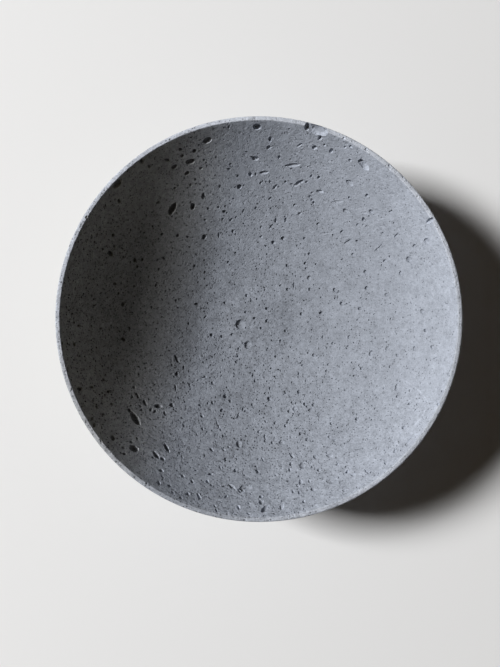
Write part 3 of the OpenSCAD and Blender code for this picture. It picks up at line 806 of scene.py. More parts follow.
class PhotoView:
    """Where the camera stands, worked out from where the rim lies in the photo."""

    def __init__(self, sizes, studio):
        self.turn = Matrix.Rotation(studio.camera_tilt, 3, "X")
        self.right, self.up, self.back = self.turn.col
        self.focal_pixels = studio.camera_lens / SENSOR_HEIGHT * PHOTO_HEIGHT
        distance = sizes.rim_width / 2 * self.focal_pixels / RIM_RADIUS_PIXELS
        rim_middle = Vector((0, 0, sizes.overall_height))
        self.place = rim_middle - self.direction(*RIM_MIDDLE_PIXEL) * distance

    def direction(self, across, down):
        """Direction in which a pixel is seen, as long as makes it one metre deep."""
        right = (across - PHOTO_WIDTH / 2) / self.focal_pixels
        up = (PHOTO_HEIGHT / 2 - down) / self.focal_pixels
        return self.turn @ Vector((right, up, -1))

    def on_inside(self, shape, across, down):
        """Where a pixel lies on the inside of the bowl, and the way out of the concrete there."""
        way = self.direction(across, down)
        height = shape.bottom
        for _ in range(SEARCH_STEPS):
            spot = self.place + way * ((height - self.place.z) / way.z)
            level, out = shape.inside_at(min(hypot(spot.x, spot.y), shape.mouth))
            height = (height + level) / 2
        turned = bearing(spot.xy)
        return spot, Vector((out.x * cos(turned), out.x * sin(turned), out.y))

    def arc_on_inside(self, shape, pixels):
        """Centre and radius of an arc through three pixels as it lies from above, and its two ends."""
        start, middle, end = (self.on_inside(shape, *pixel)[0].xy for pixel in pixels)
        centre = centre_of_circle(start, middle, end)
        return centre, (middle - centre).length, start, end

    def on_lip(self, shape, across, down):
        """Where a pixel lies on the flat of the lip, and the way out of the concrete there."""
        way = self.direction(across, down)
        spot = self.place + way * ((shape.top - self.place.z) / way.z)
        return spot, Vector((0, 0, 1))

    def bubble(self, spot, out, length, width, turn, depth_share):
        """Half axes and rotation of a bubble that looks this long and wide from the camera."""
        seen = self.right * cos(turn) + self.up * sin(turn)
        along = seen - self.back * (seen.dot(out) / self.back.dot(out))
        across = out.cross(along).normalized()
        seen_across = (across - self.back * across.dot(self.back)).length
        half_axes = Vector((length * along.length, width / seen_across, width * depth_share)) / 2
        along.normalize()
        rotation = Matrix((along, across, out)).transposed().to_euler()
        return spot - out * half_axes.z * BUBBLE_SINK, half_axes, rotation


def read_voids_object(view, shape):
    """Points for the voids that were read off the photo, each with its half axes and rotation."""
    groups = (
        (AIR_VOIDS, view.on_inside, DEEP),
        (SHALLOW_VOIDS, view.on_inside, SHALLOW),
        (LIP_CHIPS, view.on_lip, CHIP),
    )
    spots, axes, turns, batches = [], [], [], []
    for rows, seat, depth_share in groups:
        for across, down, length, width, turn in rows:
            spot, out = seat(shape, across, down)
            middle, half_axes, rotation = view.bubble(
                spot, out, length * READ_GROWTH, width * READ_WIDENING, radians(turn), depth_share)
            batches.append(len(spots) % BATCHES)
            spots.append(middle)
            axes.extend(half_axes)
            turns.extend(rotation)
    mesh = bpy.data.meshes.new("read voids")
    mesh.from_pydata(spots, [], [])
    for name, values in (("half_axes", axes), ("rotation", turns)):
        mesh.attributes.new(name, "FLOAT_VECTOR", "POINT").data.foreach_set("vector", values)
    mesh.attributes.new("batch", "FLOAT", "POINT").data.foreach_set("value", batches)
    return bpy.data.objects.new("read voids", mesh)


# Geometry trees

def new_geometry_tree(name, inputs):
    """A geometry tree with a mesh in and out, its named inputs, and the node that gives them."""
    tree = bpy.data.node_groups.new(name, "GeometryNodeTree")
    tree.interface.new_socket("Geometry", in_out="INPUT", socket_type="NodeSocketGeometry")
    for label, kind in inputs.items():
        tree.interface.new_socket(label, in_out="INPUT", socket_type="NodeSocket" + kind)
    tree.interface.new_socket("Geometry", in_out="OUTPUT", socket_type="NodeSocketGeometry")
    given = tree.nodes.new("NodeGroupInput").outputs
    return Nodes(tree), given


def finish_geometry_tree(nodes, geometry, material=None):
    """Ends a tree with realised instances, and with a material if one is given."""
    geometry = nodes.realised(geometry)
    if material is not None:
        sockets = {"Geometry": geometry, "Material": material}
        geometry = nodes.add("GeometryNodeSetMaterial", sockets).outputs[0]
    nodes.add("NodeGroupOutput", {"Geometry": geometry})
    return nodes.tree


def apply_geometry_tree(piece, tree, values):
    """Runs a tree on a piece and keeps the result as its plain mesh."""
    modifier = piece.modifiers.new(tree.name, "NODES")
    modifier.node_group = tree
    for item in tree.interface.items_tree:
        if item.in_out == "INPUT" and item.name in values:
            modifier[item.identifier] = values[item.name]
    graph = bpy.context.evaluated_depsgraph_get()
    made = bpy.data.meshes.new_from_object(piece.evaluated_get(graph))
    piece.modifiers.remove(modifier)
    outgrown = piece.data
    piece.data = made
    bpy.data.meshes.remove(outgrown)
    made.name = piece.name


def turning_tree():
    """Turns a half section round an upright axis and closes its seam and its poles."""
    nodes, given = new_geometry_tree("turned piece", {"Segments": "Int", "Axis Place": "Vector"})
    counts = nodes.add("GeometryNodeAttributeDomainSize", {"Geometry": given["Geometry"]})
    rows = counts.outputs["Point Count"]
    last_row = nodes.minus(rows, 1)
    sheet = nodes.add("GeometryNodeMeshGrid", {
        "Size X": 2 * pi,
        "Size Y": last_row,
        "Vertices X": nodes.plus(given["Segments"], 1),
        "Vertices Y": rows,
    }).outputs["Mesh"]
    angle, height, _ = nodes.parts(nodes.position())
    row = nodes.plus(height, nodes.times(last_row, 0.5))

    def from_section(value, kind, index):
        """What a point of the section holds."""
        sockets = {"Geometry": given["Geometry"], "Value": value, "Index": index}
        return nodes.add("GeometryNodeSampleIndex", sockets, data_type=kind).outputs[0]

    skin = from_section(nodes.attribute("skin"), "FLOAT", nodes.math("FLOOR", row))
    sheet = nodes.stored(sheet, "skin", skin)
    spot = nodes.parts(from_section(nodes.position(), "FLOAT_VECTOR", nodes.math("ROUND", row)))
    turned = nodes.point(
        nodes.times(spot["X"], nodes.math("COSINE", angle)),
        nodes.times(spot["X"], nodes.math("SINE", nodes.times(angle, -1))),
        spot["Z"],
    )
    sheet = nodes.moved(sheet, Position=nodes.vector("ADD", turned, given["Axis Place"]))
    sheet = nodes.add("GeometryNodeMergeByDistance", {"Geometry": sheet, "Distance": MERGE}).outputs[0]
    sheet = nodes.add("GeometryNodeSetShadeSmooth", {"Geometry": sheet}).outputs[0]
    return finish_geometry_tree(nodes, sheet)


def random_between(nodes, least, most, number, seed):
    """A random number for each point, with the number of the draw."""
    sockets = {"Min_001": least, "Max_001": most, "Seed": nodes.plus(seed, number)}
    made = nodes.add("FunctionNodeRandomValue", data_type="FLOAT")
    for socket in made.inputs:
        if socket.identifier in sockets:
            nodes.fill_socket(socket, sockets[socket.identifier])
    return next(socket for socket in made.outputs if socket.enabled)


def bubble_mesh(nodes, subdivisions, rim_painted_shade, deep_painted_shade):
    """A round bubble of radius 1. Its faces carry the mark that tells a void's wall from the bowl's skin,
    and the shade painted on the void's wall, from its rim to its depth; a negative value paints a highlight."""
    bubble = nodes.add("GeometryNodeMeshIcoSphere", {"Radius": 1.0, "Subdivisions": subdivisions})
    height = nodes.parts(nodes.position())["Z"]
    dimness = nodes.remap(height, *PAINTED_SHADE_HEIGHTS, rim_painted_shade, deep_painted_shade)
    marked = nodes.stored(bubble.outputs["Mesh"], "void_wall", 1.0)
    return nodes.stored(marked, "void_dimness", dimness)


def scattered_bubbles(nodes, surface, chosen, share, sizes, look, depths, seed):
    """Bubbles at random on the chosen skins of a surface, most of them small. sizes gives the least and
    largest width, the spacing and the number on a square metre, look what bubble_mesh asks for, and
    depths the least and largest share of the depth in half the width."""
    least, most, spacing, number = sizes
    spread = nodes.add("GeometryNodeDistributePointsOnFaces", {
        "Mesh": surface,
        "Selection": chosen,
        "Distance Min": spacing,
        "Density Max": number,
        "Density Factor": share,
        "Seed": seed,
    }, distribute_method="POISSON").outputs
    draw = nodes.math("POWER", random_between(nodes, 0.0, 1.0, 1, seed), SCATTER_POWER)
    radius = nodes.times(nodes.plus(least, nodes.times(nodes.minus(most, least), draw)), 0.5)
    stretch = nodes.point(
        random_between(nodes, *SCATTER_LENGTHS, 2, seed),
        random_between(nodes, *SCATTER_WIDTHS, 3, seed),
        random_between(nodes, *depths, 4, seed),
    )
    move = nodes.times(radius, random_between(nodes, *SCATTER_MOVES, 5, seed))
    middles = nodes.moved(spread["Points"], Offset=nodes.scaled(spread["Normal"], move))
    angle = random_between(nodes, 0.0, 2 * pi, 6, seed)
    spin = nodes.add("FunctionNodeAxisAngleToRotation", {"Axis": (0, 0, 1), "Angle": angle}).outputs[0]
    rotation = nodes.turned(spread["Rotation"], spin)
    return nodes.realised(
        nodes.copies(middles, bubble_mesh(nodes, *look), rotation, nodes.scaled(stretch, radius)))


def read_bubbles(nodes, points, batch):
    """One batch of the bubbles that were read off the photo, each a little out of true."""
    half_axes = nodes.attribute("half_axes", "FLOAT_VECTOR")
    rotation = nodes.attribute("rotation", "FLOAT_VECTOR")
    reach = nodes.vector_length(half_axes)
    in_batch = nodes.math("COMPARE", nodes.attribute("batch"), batch)
    groups = []
    for operation, look in (("LESS_THAN", SMALL_LOOK), ("GREATER_THAN", LARGE_LOOK)):
        chosen = nodes.times(nodes.math(operation, reach, LARGE_REACH), in_batch)
        groups.append(nodes.copies(points, bubble_mesh(nodes, *look), rotation, half_axes, chosen))
    centred = nodes.vector("SUBTRACT", nodes.swirl(nodes.position(), READ_BUMPS), (NOISE_MEAN,) * 3)
    return nodes.moved(nodes.realised(nodes.joined(*groups)), Offset=nodes.scaled(centred, READ_ROUGHNESS))


def on_skin(nodes, skin):
    """True on the faces of one skin."""
    return nodes.math("COMPARE", nodes.attribute("skin"), skin)


def input_label(name):
    """The label of the tree's input for a setting."""
    return name.replace("_", " ").title()


def wavering_casting(nodes, given):
    """The casting with its surface a little uneven, and true at the lip and the base."""
    place = nodes.position()
    height = nodes.parts(place)["Z"]
    fade_start, fade_end = (nodes.minus(given["Lip Height"], depth) for depth in LIP_STILL)
    below_lip = nodes.remap(height, fade_start, fade_end, 1.0, 0.0)
    above_base = nodes.remap(height, given["Base Height"], nodes.plus(given["Base Height"], BASE_STILL))
    move = nodes.times(nodes.noise(place, WAVE_SIZE), below_lip, above_base, given["Waviness"], -1)
    return nodes.moved(given["Geometry"], Offset=nodes.scaled(nodes.normal(), move))


def scattered_voids(nodes, given, casting):
    """Pinholes and blowholes at random in the inside and the outside, and pinholes in the lip. They are
    fewer towards the right and a little towards the top, and pinholes lie in loose clusters."""
    place = nodes.position()
    x, y, _ = nodes.parts(place)
    rightward, upward = (nodes.math("DIVIDE", part, given["Rim Radius"]) for part in (x, y))
    fewer = nodes.plus(nodes.times(rightward, FEWER_RIGHTWARD), nodes.times(upward, FEWER_UPWARD))
    thinner = nodes.remap(nodes.minus(MIDDLE_SHARE, fewer), FEWEST, 1.0, FEWEST, 1.0)
    clusters = nodes.stretched(nodes.noise(place, CLUSTER_SIZE, detail=1.0), BETWEEN_CLUSTERS)
    pins = (given["Pin Least"], given["Pin Most"], given["Pin Spacing"])
    blows = (given["Blow Least"], given["Blow Most"], given["Blow Spacing"])
    inside = on_skin(nodes, INSIDE)
    outside = nodes.plus(on_skin(nodes, OUTSIDE), on_skin(nodes, BASE))
    kinds = (
        (inside, nodes.times(thinner, clusters), (*pins, given["Pins Inside"]), PIN_LOOK, PIN_DEPTHS),
        (inside, thinner, (*blows, given["Blows Inside"]), SMALL_LOOK, BLOW_DEPTHS),
        (outside, clusters, (*pins, given["Pins Outside"]), PIN_LOOK, PIN_DEPTHS),
        (outside, clusters, (*blows, given["Blows Outside"]), SMALL_LOOK, BLOW_DEPTHS),
        (on_skin(nodes, LIP), 1.0, LIP_PINS, PIN_LOOK, PIN_DEPTHS),
    )
    return [
        scattered_bubbles(nodes, casting, *kind, nodes.plus(given["Seed"], number * DRAWS_OF_A_KIND))
        for number, kind in enumerate(kinds)
    ]


def air_void_tree():
    """Makes the casting waver a little, and cuts its air voids out of it."""
    nodes, given = new_geometry_tree("air voids in concrete", {
        "Read Voids": "Object",
        "Waviness": "Float",
        "Lip Height": "Float",
        "Base Height": "Float",
        "Rim Radius": "Float",
        **{input_label(name): "Float" for name in SCATTER_SETTINGS},
        "Seed": "Int",
        "Material": "Material",
    })
    casting = wavering_casting(nodes, given)
    cutters = scattered_voids(nodes, given, casting)
    read = nodes.add("GeometryNodeObjectInfo", {"Object": given["Read Voids"]}).outputs["Geometry"]
    cutters.extend(read_bubbles(nodes, read, batch) for batch in range(BATCHES))
    cut = nodes.add("GeometryNodeMeshBoolean", operation="DIFFERENCE", solver="MANIFOLD")
    nodes.tree.links.new(casting, cut.inputs["Mesh 1"])
    for cutter in cutters:
        nodes.tree.links.new(cutter, cut.inputs["Mesh 2"])
    pitted = nodes.add("GeometryNodeSetShadeSmooth", {"Geometry": cut.outputs["Mesh"]}).outputs[0]

    # The edge round a void is left sharp
    mark = nodes.add("GeometryNodeFieldOnDomain", {"Value": nodes.attribute("void_wall")},
                     data_type="FLOAT", domain="EDGE").outputs[0]
    least, most = RIM_MARKS
    void_rim = nodes.times(nodes.math("GREATER_THAN", mark, least), nodes.math("LESS_THAN", mark, most))
    pitted = nodes.add("GeometryNodeSetShadeSmooth",
                       {"Geometry": pitted, "Selection": void_rim, "Shade Smooth": False},
                       domain="EDGE").outputs[0]
    return finish_geometry_tree(nodes, pitted, given["Material"])


def felt_tree():
    """Makes the cut edge of a felt pad ragged and leaves loose fibres on it."""
    nodes, given = new_geometry_tree("felt pad", {
        "Raggedness": "Float", "Fibre Length": "Float", "Fibres": "Float", "Thickness": "Float",
        "Seed": "Int", "Material": "Material",
    })
    side = on_skin(nodes, FELT_SIDE)
    wander = nodes.times(nodes.noise(nodes.position(), RAGGED_STEP), given["Raggedness"], -1)
    felt = nodes.moved(given["Geometry"], Selection=side, Offset=nodes.scaled(nodes.normal(), wander))
    spread = nodes.add("GeometryNodeDistributePointsOnFaces", {
        "Mesh": felt, "Selection": side, "Density": given["Fibres"], "Seed": given["Seed"],
    }, distribute_method="RANDOM").outputs
    fibre = nodes.add("GeometryNodeMeshCone", {
        "Vertices": FIBRE_SIDES, "Side Segments": FIBRE_SIDES, "Radius Top": FIBRE_TIP,
        "Radius Bottom": FIBRE_ROOT, "Depth": given["Fibre Length"],
    }).outputs["Mesh"]
    leans = (random_between(nodes, *FIBRE_LEAN, number, given["Seed"]) for number in (1, 2))
    rotation = nodes.turned(spread["Rotation"], nodes.point(*leans, 0.0))
    length = random_between(nodes, FIBRE_SHORTEST, 1.0, 3, given["Seed"])
    fibres = nodes.realised(nodes.copies(spread["Points"], fibre, rotation, length))

    # Fibres bend aside at the floor and at the top of the felt
    x, y, height = nodes.parts(nodes.position())
    height = nodes.math("MAXIMUM", nodes.math("MINIMUM", height, given["Thickness"]), FIBRE_ROOT)
    fibres = nodes.moved(fibres, Position=nodes.point(x, y, height))
    return finish_geometry_tree(nodes, nodes.joined(fibres, felt), given["Material"])


# Materials

def new_material(name):
    """A material with a principled shader, and its nodes."""
    material = bpy.data.materials.new(name)
    material.use_nodes = True
    nodes = Nodes(material.node_tree)
    return material, nodes, material.node_tree.nodes["Principled BSDF"]


def object_place(nodes):
    """Where a point lies on the piece itself."""
    return nodes.add("ShaderNodeTexCoord").outputs["Object"]


def rgba(colour, factor=1.0):
    """A colour for a socket, made lighter or darker."""
    return (*(part * factor for part in colour), 1.0)


def along(nodes, x, y, degrees):
    """How far a place lies along a bearing."""
    turn = radians(degrees)
    return nodes.plus(nodes.times(x, cos(turn)), nodes.times(y, sin(turn)))


def darkened(nodes, tone, share, factor):
    """A tone multiplied by a factor where a share is 1, and left alone where it is 0."""
    return nodes.times(tone, nodes.remap(share, 0.0, 1.0, 1.0, factor))


def bent(nodes, place, size, reach, detail=2.0):
    """A place pushed aside by noise, for uneven outlines."""
    return nodes.vector("ADD", place, nodes.scaled(nodes.swirl(place, size, detail), reach))


def specks(nodes, place, cell, widths, rarity):
    """Distance from the nearest random speck as a share of its width, and 1 where its cell has one."""
    distance, (chance, wide, _) = nodes.cells(place, cell)
    nearness = nodes.math("DIVIDE", distance, nodes.remap(wide, 0.0, 1.0, *widths))
    return nearness, nodes.math("GREATER_THAN", chance, rarity)


def scratch_mask(nodes, x, y, centre, radius, start, end):
    """1 on an arc as it lies from above, falling to 0 beside it and past its ends."""
    def distance(spot):
        """How far a place lies from a spot, as seen from above."""
        return nodes.vector_length(nodes.point(nodes.minus(x, spot.x), nodes.minus(y, spot.y), 0.0))

    miss = nodes.math("ABSOLUTE", nodes.minus(distance(centre), radius))
    half_length = (end - start).length / 2
    near = nodes.fade(distance((start + end) / 2), SCRATCH_FULL * half_length, half_length)
    return nodes.times(nodes.fade(miss, *SCRATCH_SIDES), near)


def painted_shadow_share(nodes, x, y, towards, patches):
    """How much of the band of painted shadow lies at a place."""
    band = nodes.times(nodes.remap(towards, *PAINTED_SHADOW_START, smooth=True),
                       nodes.remap(towards, *PAINTED_SHADOW_END, 1.0, PAINTED_SHADOW_LEFT, smooth=True))
    turn = radians(LAMP_SIDE_BEARING)
    aside = nodes.minus(nodes.times(y, cos(turn)), nodes.times(x, sin(turn)))
    middle = nodes.fade(nodes.math("ABSOLUTE", aside), *PAINTED_SHADOW_SIDES)
    return nodes.times(band, middle, nodes.remap(patches, *PAINTED_SHADOW_PATCHES))


def wiping_marks(nodes, place, x):
    """What wiping marks that run up the right wall add to its tone."""
    sockets = {"Vector": place, "Rotation": (0, 0, radians(WIPED_TURN)), "Scale": WIPED_CHANGE}
    stretched = nodes.add("ShaderNodeMapping", sockets).outputs[0]
    marks = nodes.remap(nodes.noise(stretched, size=1.0), *WIPED_TONES)
    return nodes.times(nodes.remap(x, *WIPED_START), marks)


def soft_dents(nodes, place):
    """Depth of soft dents of uneven outline, from 0 to 1."""
    uneven = bent(nodes, place, DENT_BEND, DENT_BEND, detail=1.0)
    nearness, present = specks(nodes, uneven, DENT_CELL, DENT_WIDTHS, DENT_RARITY)
    return nodes.times(nodes.remap(nodes.math("POWER", nearness, 2), 0.0, 1.0, 1.0, 0.0), present)


def concrete_material(finishes, shape, scratches):
    """Unsealed cast concrete, with clouds, fine grain and open pores, and rubbed paler on the lip."""
    material, nodes, shader = new_material("unsealed cast concrete")
    place = object_place(nodes)
    x, y, height = nodes.parts(place)
    reach = nodes.vector_length(nodes.point(x, y, 0.0))
    towards = along(nodes, x, y, LAMP_SIDE_BEARING)

    # The texture fades towards the right and a little towards the top; where it is strong, its contrast is
    # partly painted shade
    fading = nodes.plus(nodes.times(x, FADING_RIGHTWARD), nodes.times(y, FADING_UPWARD))
    fading_reach = FADING_SHARE * shape.mouth

    def faded(ends):
        """A value between its strong and its faded end."""
        return nodes.remap(fading, -fading_reach, fading_reach, *ends)

    # Tones from large clouds to single grains
    tone = 0.0
    grains = {}
    for label, (size, strength) in GRAINS.items():
        grains[label] = nodes.noise(place, size, GRAIN_DETAIL, GRAIN_ROUGHNESS)
        tone = nodes.plus(tone, nodes.times(nodes.minus(grains[label], NOISE_MEAN), strength))
    tone = nodes.plus(nodes.times(tone, faded(CONTRAST)), 1.0)

    # The bottom of the bowl is darker than its rim, and a band of painted shadow lies on the wall on the
    # lamp's side
    share = nodes.remap(reach, 0.0, shape.mouth)
    rises = (nodes.times(nodes.math("POWER", share, power), rise) for power, rise in RISING_TONES)
    tone = nodes.times(tone, nodes.plus(*rises, MIDDLE_TONE))
    tone = darkened(nodes, tone, painted_shadow_share(nodes, x, y, towards, grains["patches"]), PAINTED_SHADOW_TONE)

    # Wiping marks and pale scratches
    tone = nodes.plus(tone, wiping_marks(nodes, place, x))
    scratch_tone = nodes.remap(grains["mottle"], *SCRATCH_TONES)
    for arc in scratches:
        tone = nodes.plus(tone, nodes.times(scratch_mask(nodes, x, y, *arc), scratch_tone))

    # Pores that are too fine to be cut as voids; their darkness, stronger on the left, is partly painted
    # shade
    nearness, present = specks(nodes, place, PORE_CELL, PORE_WIDTHS, faded(PORE_RARITY))
    pore = nodes.times(nodes.fade(nearness, *PORE_FADE), present)
    tone = darkened(nodes, tone, pore, faded(PORE_TONES))

    # Painted shade makes a void's wall dimmer, more so where it lies towards the lamp. A negative value is a
    # painted highlight that makes it paler everywhere.
    dimness = nodes.add("ShaderNodeAttribute", attribute_name="void_dimness").outputs["Fac"]
    dim = nodes.times(nodes.math("MAXIMUM", dimness, 0.0), nodes.remap(towards, *VOID_SHADE_REACH))
    tone = nodes.times(tone, nodes.minus(1.0, nodes.plus(dim, nodes.math("MINIMUM", dimness, 0.0))))

    # The lip's skin is paler, but less so where hands have worn it, and it is darker in two stretches
    skin_start, skin_full = (shape.top - depth for depth in LIP_SKIN)
    on_lip = nodes.remap(height, skin_start, skin_full, smooth=True)
    whole = nodes.remap(nodes.plus(y, nodes.times(x, WHOLE_RIGHTWARD)), *SKIN_WHOLE)
    skin = nodes.times(on_lip, nodes.remap(whole, 0.0, 1.0, WORN_SKIN, 1.0))
    for degrees, ends, full, stretch_tone in DARKER_LIP_STRETCHES:
        cosine = nodes.math("DIVIDE", along(nodes, x, y, degrees), reach)
        darker_stretch = nodes.times(nodes.remap(cosine, ends, full, smooth=True), on_lip)
        tone = darkened(nodes, tone, darker_stretch, stretch_tone)
    # A painted warm tint on the shaded wall on the lamp's side stands in for warm bounced light
    shade_tint = nodes.remap(towards, *SHADE_TINT_REACH, smooth=True)
    plain = nodes.mix(shade_tint, rgba(finishes.concrete), rgba(finishes.shade_tinted_concrete))
    plain = nodes.mix(skin, plain, rgba(finishes.lip))

    raised = nodes.plus(nodes.times(grains["grain"], GRAIN_RELIEF),
                        nodes.times(grains["mottle"], MOTTLE_RELIEF))
    sunk = nodes.plus(nodes.times(pore, PORE_RELIEF), nodes.times(soft_dents(nodes, place), DENT_RELIEF))
    nodes.fill(shader, {
        **CONCRETE_FINISH,
        "Base Color": nodes.scaled(plain, tone),
        "Roughness": nodes.stretched(grains["mottle"], *CONCRETE_ROUGHNESS),
        "Normal": nodes.bump(CONCRETE_BUMP, nodes.minus(raised, sunk)),
    })
    return material


def felt_material(finishes):
    """Pressed felt: matted fibres of slightly different greys."""
    material, nodes, shader = new_material("pressed charcoal felt")
    place = bent(nodes, object_place(nodes), FELT_WARP, FELT_BEND)
    strands = nodes.noise(place, *FELT_STRANDS)
    flecks = nodes.remap(nodes.noise(place, FLECK_SIZE), *FLECKS)
    dark, light, pale = (rgba(finishes.felt, tone) for tone in FELT_TONES)
    nodes.fill(shader, {
        **FELT_FINISH,
        "Base Color": nodes.mix(flecks, nodes.mix(nodes.stretched(strands), dark, light), pale),
        "Normal": nodes.bump(FELT_BUMP, nodes.times(strands, FELT_RELIEF)),
    })
    return material


def film_material(finishes):
    """Transfer adhesive film with a few trapped bubbles."""
    material, nodes, shader = new_material("dull adhesive film")
    place = object_place(nodes)
    trapped = nodes.fade(nodes.cells(place, TRAPPED_CELL)[0], *TRAPPED_EDGE)
    cloud = nodes.noise(place, FILM_CLOUDS)
    dull, clear, pale = (rgba(finishes.film, tone) for tone in FILM_TONES)
    tint = nodes.mix(nodes.stretched(cloud), dull, clear)
    nodes.fill(shader, {
        **FILM_FINISH,
        "Base Color": nodes.mix(nodes.times(trapped, TRAPPED_SHARE), tint, pale),
        "Roughness": nodes.stretched(cloud, *FILM_ROUGHNESS),
        "Normal": nodes.bump(FILM_BUMP, nodes.times(trapped, FILM_RELIEF)),
    })
    return material


def seen_directly(nodes):
    """1 for what the camera, a reflection or a look through glass sees, and 0 for light on its way."""
    path = nodes.add("ShaderNodeLightPath").outputs
    seen = nodes.math("MAXIMUM", path["Is Camera Ray"], path["Is Glossy Ray"])
    return nodes.math("MAXIMUM", seen, path["Is Transmission Ray"])


def show_mixed(nodes, output, share, first, second):
    """Ends a material or a world in a mix of two shaders."""
    both = nodes.add("ShaderNodeMixShader", {0: share, 1: first, 2: second}).outputs[0]
    nodes.tree.links.new(both, nodes.tree.nodes[output].inputs["Surface"])


def floor_material(finishes):
    """Plain pale floor, which is seen to fade into the backdrop far away."""
    material, nodes, shader = new_material("plain pale floor")
    nodes.fill(shader, {**FLOOR_FINISH, "Base Color": rgba(finishes.floor)})
    away = nodes.remap(nodes.vector_length(object_place(nodes)), *FADE, smooth=True)
    backdrop = nodes.add("ShaderNodeEmission", {"Color": rgba(BACKDROP), "Strength": 1.0}).outputs[0]
    share = nodes.times(away, seen_directly(nodes))
    show_mixed(nodes, "Material Output", share, shader.outputs[0], backdrop)
    return material


# Pieces

def new_object(name, data):
    """An object in the scene."""
    made = bpy.data.objects.new(name, data)
    bpy.context.scene.collection.objects.link(made)
    return made


def turned_piece(name, outline, segments, axis_place):
    """A piece turned from a half section round an upright axis."""
    mesh = bpy.data.meshes.new(name)
    edges = [(number, number + 1) for number in range(len(outline.points) - 1)]
    mesh.from_pydata([(point.x, 0, point.y) for point in outline.points], edges, [])
    skin = mesh.attributes.new("skin", "FLOAT", "POINT")
    skin.data.foreach_set("value", [*outline.skins, outline.skins[-1]])
    piece = new_object(name, mesh)
    tree = bpy.data.node_groups.get("turned piece") or turning_tree()
    apply_geometry_tree(piece, tree, {"Segments": segments, "Axis Place": axis_place})
    return piece


def drop_crumbs(piece):
    """Deletes the bits of concrete that came loose between voids that meet."""
    shape = bmesh.new()
    shape.from_mesh(piece.data)
    islands = []
    waiting = set(shape.verts)
    while waiting:
        island = [waiting.pop()]
        for vertex in island:
            for edge in vertex.link_edges:
                other = edge.other_vert(vertex)
                if other in waiting:
                    waiting.remove(other)
                    island.append(other)
        islands.append(island)
    islands.sort(key=len)
    for island in islands[:-1]:
        bmesh.ops.delete(shape, geom=island, context="VERTS")
    shape.to_mesh(piece.data)
    shape.free()


class ConcreteBowlOperator(Operator):
    """Turns the casting from its section and cuts the air voids out of it"""

    bl_idname = "planter_bowl.cast_bowl"
    bl_label = "Concrete Bowl"

    def execute(self, context):
        bowl = context.scene.planter_bowl
        shape = BowlShape(bowl.casting)
        view = PhotoView(bowl.casting, bowl.studio)
        piece = turned_piece("concrete_bowl", shape.section(), CASTING_SEGMENTS, (0, 0, 0))
        read_voids = read_voids_object(view, shape)
        scratches = [view.arc_on_inside(shape, pixels) for pixels in SCRATCHES]
        apply_geometry_tree(piece, air_void_tree(), {
            "Read Voids": read_voids,
            "Waviness": bowl.casting.waviness,
            "Lip Height": shape.top,
            "Base Height": shape.base,
            "Rim Radius": bowl.casting.rim_width / 2,
            **{input_label(name): getattr(bowl.voids, name) for name in SCATTER_SETTINGS},
            "Seed": bowl.voids.seed,
            "Material": concrete_material(bowl.finishes, shape, scratches),
        })
        bpy.data.objects.remove(read_voids)
        drop_crumbs(piece)
        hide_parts("bowl_casting")
        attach(piece, BODY)
        return {"FINISHED"}


class FeltPadsOperator(Operator):
    """Punches the felt floor pads and sets them under the base"""

    bl_idname = "planter_bowl.felt_pads"
    bl_label = "Felt Pads"

    def execute(self, context):
        bowl = context.scene.planter_bowl
        pads = bowl.pads
        radius = pads.width / 2
        outline = Outline(Vector((0, pads.thickness)))
        outline.line(FELT_TOP, Vector((radius, pads.thickness)), "felt face")
        outline.line(FELT_SIDE, Vector((radius, pads.edge_round)), "felt side")
        edge_core = Vector((radius - pads.edge_round, pads.edge_round))
        outline.arc(FELT_SIDE, edge_core, pads.edge_round, 0, -pi / 2, "felt round")
        outline.line(FELT_BOTTOM, Vector((0, 0)), "felt face")
        material = felt_material(bowl.finishes)
        tree = felt_tree()
        for number in PAD_NUMBERS:
            low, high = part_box(f"felt_pad_{number}")
            middle = (low + high) / 2
            piece = turned_piece(f"felt_floor_pad_{number}", outline, PAD_SEGMENTS, (middle.x, middle.y, 0))
            apply_geometry_tree(piece, tree, {
                "Raggedness": pads.raggedness,
                "Fibre Length": pads.fibre_length,
                "Fibres": pads.fibres,
                "Thickness": pads.thickness,
                "Seed": number,
                "Material": material,
            })
            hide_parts(f"felt_pad_{number}")
            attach(piece, BODY)
        return {"FINISHED"}


class AdhesiveFilmOperator(Operator):
    """Gives the adhesive film on the pads its finish"""

    bl_idname = "planter_bowl.adhesive_film"
    bl_label = "Adhesive Film"

    def execute(self, context):
        material = film_material(context.scene.planter_bowl.finishes)
        for number in PAD_NUMBERS:
            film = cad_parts[f"pad_adhesive_{number}"]
            film.data.materials.clear()
            film.data.materials.append(material)
        return {"FINISHED"}


def add_floor(material):
    """A floor that reaches past every view's horizon."""
    mesh = bpy.data.meshes.new("studio_floor")
    corners = ((-1, -1), (1, -1), (1, 1), (-1, 1))
    mesh.from_pydata([(x * FLOOR_REACH, y * FLOOR_REACH, 0) for x, y in corners], [], [range(len(corners))])
    mesh.materials.append(material)
    new_object("studio_floor", mesh)


def add_lamp(studio, aim):
    """A square soft box to the left of the bowl."""
    light = bpy.data.lights.new("soft box", "AREA")
    light.shape = "SQUARE"
    light.size = studio.lamp_width
    light.energy = studio.lamp_power
    lamp = new_object("soft box", light)
    level = cos(studio.lamp_rise)
    way = Vector((cos(studio.lamp_bearing) * level, sin(studio.lamp_bearing) * level, sin(studio.lamp_rise)))
    lamp.location = aim + way * studio.lamp_distance
    lamp.rotation_euler = way.to_track_quat("Z", "Y").to_euler()


def add_world(studio):
    """A weak light from all round, which the camera and reflections see as a pale backdrop."""
    world = bpy.data.worlds.new("studio")
    world.use_nodes = True
    nodes = Nodes(world.node_tree)
    fill, pale = (
        nodes.add("ShaderNodeBackground", {"Color": rgba(colour), "Strength": strength}).outputs[0]
        for colour, strength in ((studio.fill_colour, studio.fill), (BACKDROP, 1.0))
    )
    show_mixed(nodes, "World Output", seen_directly(nodes), fill, pale)
    bpy.context.scene.world = world


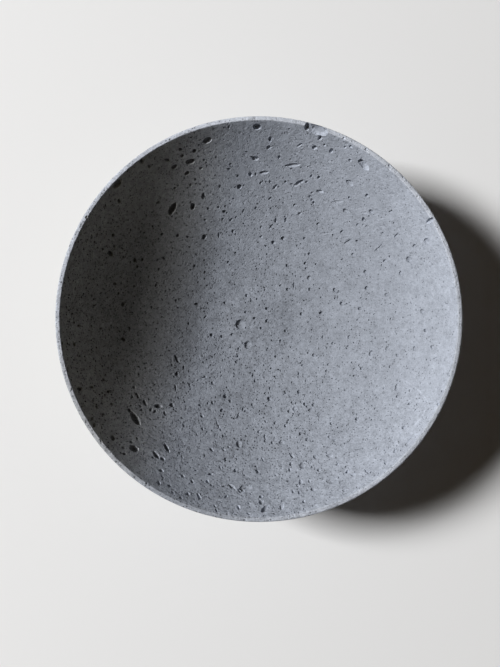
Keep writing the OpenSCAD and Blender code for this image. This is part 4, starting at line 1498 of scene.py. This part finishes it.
def add_camera(studio, view):
    """The camera that sees the bowl as the photo does."""
    lens = bpy.data.cameras.new("camera")
    lens.lens = studio.camera_lens
    lens.sensor_width = SENSOR_HEIGHT
    camera = new_object("camera", lens)
    camera.location = view.place
    camera.rotation_euler = view.turn.to_euler()
    bpy.context.scene.camera = camera


class StudioOperator(Operator):
    """Sets up the camera, the floor, the lamp and the pale backdrop"""

    bl_idname = "planter_bowl.studio"
    bl_label = "Studio"

    def execute(self, context):
        bowl = context.scene.planter_bowl
        add_camera(bowl.studio, PhotoView(bowl.casting, bowl.studio))
        add_floor(floor_material(bowl.finishes))
        add_lamp(bowl.studio, Vector((0, 0, bowl.casting.overall_height)))
        add_world(bowl.studio)
        context.scene.view_settings.view_transform = "Standard"
        return {"FINISHED"}


class PlanterBowlPanel(Panel):
    """Lists the bowl's pieces and their settings"""

    bl_idname = "VIEW3D_PT_planter_bowl"
    bl_label = "Planter Bowl"
    bl_space_type = "VIEW_3D"
    bl_region_type = "UI"
    bl_category = "Planter Bowl"

    def draw(self, context):
        bowl = context.scene.planter_bowl
        for operator in OPERATORS:
            self.layout.operator(operator.bl_idname)
        for group in (bowl.casting, bowl.voids, bowl.pads, bowl.finishes, bowl.studio):
            box = self.layout.box()
            for name in group.__annotations__:
                box.prop(group, name)


OPERATORS = (StudioOperator, ConcreteBowlOperator, FeltPadsOperator, AdhesiveFilmOperator)
CLASSES = (CastingSizes, VoidSizes, PadSizes, Finishes, StudioSettings, PlanterBowl, *OPERATORS,
           PlanterBowlPanel)


def register():
    for kind in CLASSES:
        bpy.utils.register_class(kind)
    bpy.types.Scene.planter_bowl = PointerProperty(type=PlanterBowl)


def unregister():
    del bpy.types.Scene.planter_bowl
    for kind in reversed(CLASSES):
        bpy.utils.unregister_class(kind)


def main():
    """Builds the studio and every piece."""
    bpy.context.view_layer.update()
    register()
    bpy.ops.planter_bowl.studio()
    bpy.ops.planter_bowl.cast_bowl()
    bpy.ops.planter_bowl.felt_pads()
    bpy.ops.planter_bowl.adhesive_film()


if __name__ == "__main__":
    main()
